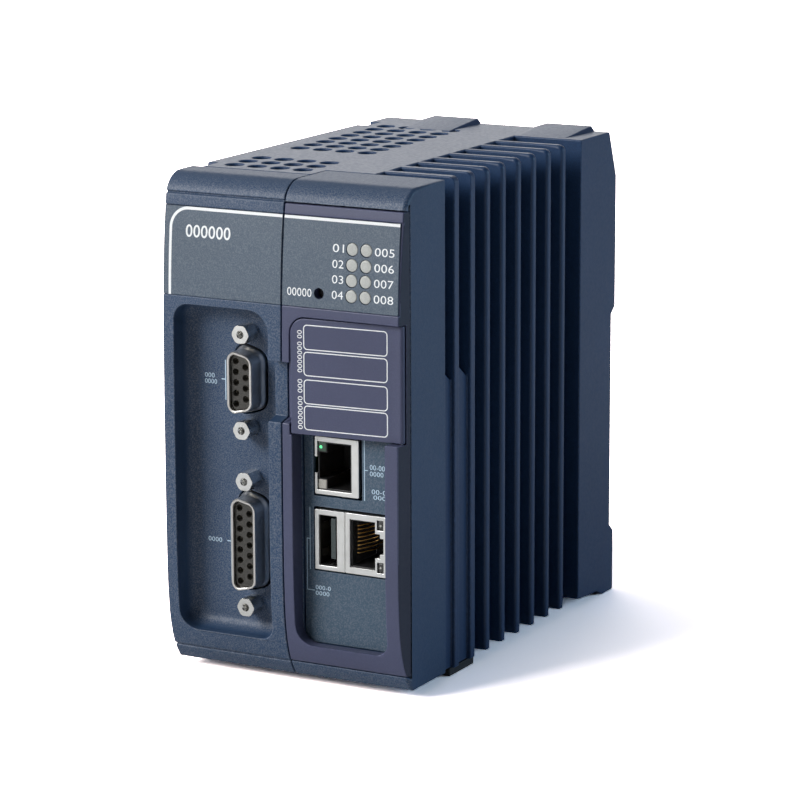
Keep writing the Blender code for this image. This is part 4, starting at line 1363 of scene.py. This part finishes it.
class MODULE_OT_rear_and_base(bpy.types.Operator):
    """Rear cover, backplane plugs, lever, drawer and the screws in the side cover"""
    bl_idname = "module.rear_and_base"
    bl_label = "Rear and base"
    bl_options = {"REGISTER", "UNDO"}

    def execute(self, context):
        black = black_finish()
        for name, width in (("rear_cover", 0.3), ("backplane_plug_left", 0.3),
                            ("backplane_plug_right", 0.3), ("release_lever", 0.4),
                            ("battery_drawer", 0.4), ("backup_socket", 0.4)):
            self.carry(name, black, width)
        self.carry("side_cover", body_finish(), 0.3)

        def fingers(bm):
            for x in (17.5, 52.5):
                for side in (-1, 1):
                    inner = x + side * 3.2
                    low, high = sorted((inner, inner - side * 0.35))
                    for i in range(26):
                        z = 31.5 + 2.6 * i
                        box(bm, low, high, 117.4, 124.6, z - 0.55, z + 0.55)
        finger = solid("backplane_fingers", fingers)
        dress(finger, gold_finish(), slot="upper_jack_contacts")
        for y, z in STACK_YZ:
            spot = ("front" if y < 50 else "rear") + ("_lower" if z < 50 else "_upper")
            self.cover_screw("cover_screw_" + spot, y, z)

        def ribs(bm):
            for i in range(5):
                rib = arc(124.0 - 1.6 * i, -2.0 + 0.05 * i, 0.36, 180, 360, 6)
                prism(bm, rib, "x", 28.5, 40.9)
        grip = solid("lever_grip", ribs)
        shade(grip)
        dress(grip, black, "release_lever", slot="release_lever")
        return {"FINISHED"}

    def carry(self, name, material, width):
        obj = frame["nodes"][name]
        obj.data.materials.clear()
        obj.data.materials.append(material)
        bevel = obj.modifiers.new("edges", "BEVEL")
        bevel.limit_method = "ANGLE"
        bevel.angle_limit = math.radians(35)
        bevel.width = width * MM
        bevel.segments = 3
        normals = obj.modifiers.new("flat_faces", "WEIGHTED_NORMAL")
        normals.keep_sharp = True

    def cover_screw(self, node, y, z):
        def build(bm):
            profile = [(1.0, 1.2), (0.62, 2.55), (0.5, 2.7), (0.3, 2.7), (0.16, 2.5), (0.1, 2.2)]
            turned(bm, y, z, "x", [(8.0, 1.2)] + profile, 28)
        screw = solid(node + "_head", build)
        for dy, dz in ((1.5, 0.28), (0.28, 1.5)):
            slot = [(y - dy, z - dz), (y + dy, z - dz), (y + dy, z + dz), (y - dy, z + dz)]
            carve(screw, lambda bm, slot=slot: prism(bm, slot, "x", -1, 0.55))
        shade(screw, 30)
        dress(screw, plated("zinc_screw", (0.62, 0.62, 0.64), roughness=0.3), replaces=[node])


class MODULE_OT_inner_parts(bpy.types.Operator):
    """Finishes for the boards, pillars, switches and other inner parts"""
    bl_idname = "module.inner_parts"
    bl_label = "Inner parts"
    bl_options = {"REGISTER", "UNDO"}

    def execute(self, context):
        board = moulded("solder_resist", (0.012, 0.075, 0.03), (0.05, 0.2, 0.09), 0.4, 0.35,
                        0.6 * MM, 0.01 * MM)
        steel = plated("bright_steel", (0.62, 0.62, 0.64))
        brass = plated("turned_brass", (0.62, 0.45, 0.20))
        white = moulded("lever_plastic", (0.62, 0.62, 0.60), (0.72, 0.72, 0.70), 0.4, 0.45)
        pad = moulded("thermal_pad_skin", (0.25, 0.36, 0.48), (0.4, 0.5, 0.6), 0.5, 0.8)
        finishes = {
            "front_board": board, "serial_board": board, "cpu_board": board, "thermal_pad": pad,
            "coin_cell": steel, "door_hinge_pin": steel, "release_lever_pin": steel,
            "release_spring": steel, "run_stop_lever": white, "storage_lever": white}
        dark = ("processor", "reset_button", "reset_switch", "run_stop_switch", "storage_switch")
        for name, obj in frame["nodes"].items():
            if name.startswith(("pillar_", "spacer_")):
                finishes[name] = brass
            if name in dark:
                finishes[name] = black_finish()
            if name in finishes:
                obj.data.materials.clear()
                obj.data.materials.append(finishes[name])
        return {"FINISHED"}


class MODULE_OT_stage(bpy.types.Operator):
    """Plain pale floor, soft lights and the camera"""
    bl_idname = "module.stage"
    bl_label = "Stage"
    bl_options = {"REGISTER", "UNDO"}

    def execute(self, context):
        settings = bpy.context.scene.module_stage
        floor = solid("floor", self.floor)
        floor.data.materials.append(self.floor_paint(settings.floor))
        floor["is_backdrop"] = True
        self.sky()
        self.light("key", (-0.95, -1.25, 0.95), (1.0, 0.8), settings.key)
        self.light("back", (-1.1, 2.1, 0.75), (1.6, 0.9), settings.back)
        self.light("fill", (1.5, 0.9, 0.45), (1.0, 0.8), settings.fill, (0.50, 0.75, 1.0))
        self.light("top", (-0.55, 0.2, 1.6), (1.6, 1.6), settings.top)
        self.camera(settings.lens)
        view = bpy.context.scene.view_settings
        view.view_transform = "Standard"
        view.look = "None"
        return {"FINISHED"}

    def floor_paint(self, colour):
        """White to the camera, and darker to the module's gloss and undersides."""
        material, tree, shader = start_material("floor_paint")
        camera_ray = tree.nodes.new("ShaderNodeLightPath").outputs["Is Camera Ray"]
        seen = mix_colour(tree, camera_ray, tuple(c * 0.80 for c in colour) + (1.0,),
                          tuple(c * tone for c, tone in zip(colour, (5.0, 4.4, 4.2))) + (1.0,))
        tree.links.new(seen, shader.inputs["Base Color"])
        shader.inputs["Roughness"].default_value = 0.8
        shader.inputs["Specular IOR Level"].default_value = 0.1
        shader.inputs["Emission Color"].default_value = (1, 1, 1, 1)
        distance = tree.nodes.new("ShaderNodeVectorMath")
        distance.operation = "LENGTH"
        tree.links.new(tree.nodes.new("ShaderNodeTexCoord").outputs["Object"], distance.inputs[0])
        away = spread(tree, distance.outputs["Value"], 0.12, 0.40, 0.0, 0.9)
        glow = math_node(tree, "MULTIPLY", camera_ray, away)
        tree.links.new(glow, shader.inputs["Emission Strength"])
        return material

    def floor(self, bm):
        size = FLOOR_HALF
        corners = [(-size, -size), (size, -size), (size, size), (-size, size)]
        low = [bm.verts.new((x, y, -0.02)) for x, y in corners]
        high = [bm.verts.new((x, y, 0.0)) for x, y in corners]
        bm.faces.new(high)
        bm.faces.new(list(reversed(low)))
        for i in range(4):
            j = (i + 1) % 4
            bm.faces.new((low[i], low[j], high[j], high[i]))

    def sky(self):
        """Dark overhead and on the right, light low down on the left and behind."""
        world = bpy.data.worlds.new("studio")
        world.use_nodes = True
        tree = world.node_tree
        split = tree.nodes.new("ShaderNodeSeparateXYZ")
        tree.links.new(tree.nodes.new("ShaderNodeTexCoord").outputs["Generated"], split.inputs[0])
        side = spread(tree, split.outputs["X"], -0.5, 0.5, 1.0, 0.14)
        height = spread(tree, split.outputs["Z"], 0.22, 0.55, 1.0, 0.16)
        behind = spread(tree, split.outputs["Y"], 0.1, 0.8, 0.60, 0.95)
        tone = math_node(tree, "MULTIPLY", math_node(tree, "MULTIPLY", side, height), behind)
        background = tree.nodes["Background"]
        background.inputs["Color"].default_value = (1.0, 1.0, 1.02, 1.0)
        tree.links.new(tone, background.inputs["Strength"])
        bpy.context.scene.world = world

    def light(self, name, position, size, power, colour=(1.0, 1.0, 1.0)):
        lamp = bpy.data.lights.new(name, "AREA")
        lamp.shape = "RECTANGLE"
        lamp.size, lamp.size_y = size
        lamp.energy = power
        lamp.color = colour
        obj = add_object(name, lamp)
        obj.location = position
        obj.rotation_mode = "QUATERNION"
        aim = Vector(LIGHTS_AIM) - Vector(position)
        obj.rotation_quaternion = aim.to_track_quat("-Z", "Y")

    def camera(self, lens):
        yaw, pitch, roll = (math.radians(a) for a in CAMERA_TURN)
        ahead = Vector((-math.sin(yaw) * math.cos(pitch), math.cos(yaw) * math.cos(pitch),
                        -math.sin(pitch)))
        right = Vector((math.cos(yaw), math.sin(yaw), 0))
        up = right.cross(ahead)
        turned_right = math.cos(roll) * right + math.sin(roll) * up
        turned_up = -math.sin(roll) * right + math.cos(roll) * up
        data = bpy.data.cameras.new("camera")
        data.lens = lens
        data.sensor_width = 36.0
        obj = add_object("camera", data)
        turn = Matrix((turned_right, turned_up, -ahead)).transposed().to_4x4()
        obj.matrix_world = Matrix.Translation(CAMERA_PLACE) @ turn
        bpy.context.scene.camera = obj


PIECES = (
    MODULE_OT_left_bezel, MODULE_OT_right_bezel, MODULE_OT_overlays, MODULE_OT_port_frame,
    MODULE_OT_address_door, MODULE_OT_port_panel, MODULE_OT_housing, MODULE_OT_serial_sockets,
    MODULE_OT_network_ports, MODULE_OT_status_lamps, MODULE_OT_rear_and_base, MODULE_OT_inner_parts,
    MODULE_OT_stage)


class MODULE_PT_panel(bpy.types.Panel):
    """Lists the module's sizes, colours and pieces"""
    bl_idname = "MODULE_PT_panel"
    bl_label = "Rack controller"
    bl_space_type = "VIEW_3D"
    bl_region_type = "UI"
    bl_category = "Controller"

    def draw(self, context):
        scene = context.scene
        for settings in (scene.module_sizes, scene.module_colours, scene.module_stage):
            column = self.layout.column(align=True)
            for name in settings.__annotations__:
                column.prop(settings, name)
        column = self.layout.column(align=True)
        for piece in PIECES:
            column.operator(piece.bl_idname)


CLASSES = (ModuleColours, ModuleSizes, StageSettings) + PIECES + (MODULE_PT_panel,)


def register():
    for item in CLASSES:
        bpy.utils.register_class(item)
    bpy.types.Scene.module_colours = PointerProperty(type=ModuleColours)
    bpy.types.Scene.module_sizes = PointerProperty(type=ModuleSizes)
    bpy.types.Scene.module_stage = PointerProperty(type=StageSettings)


def unregister():
    del bpy.types.Scene.module_stage
    del bpy.types.Scene.module_sizes
    del bpy.types.Scene.module_colours
    for item in reversed(CLASSES):
        bpy.utils.unregister_class(item)


def corners():
    return [list(corner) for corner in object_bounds()]


def main():
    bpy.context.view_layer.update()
    register()
    for piece in PIECES:
        group, name = piece.bl_idname.split(".")
        getattr(getattr(bpy.ops, group), name)()


if __name__ == "__main__":
    main()
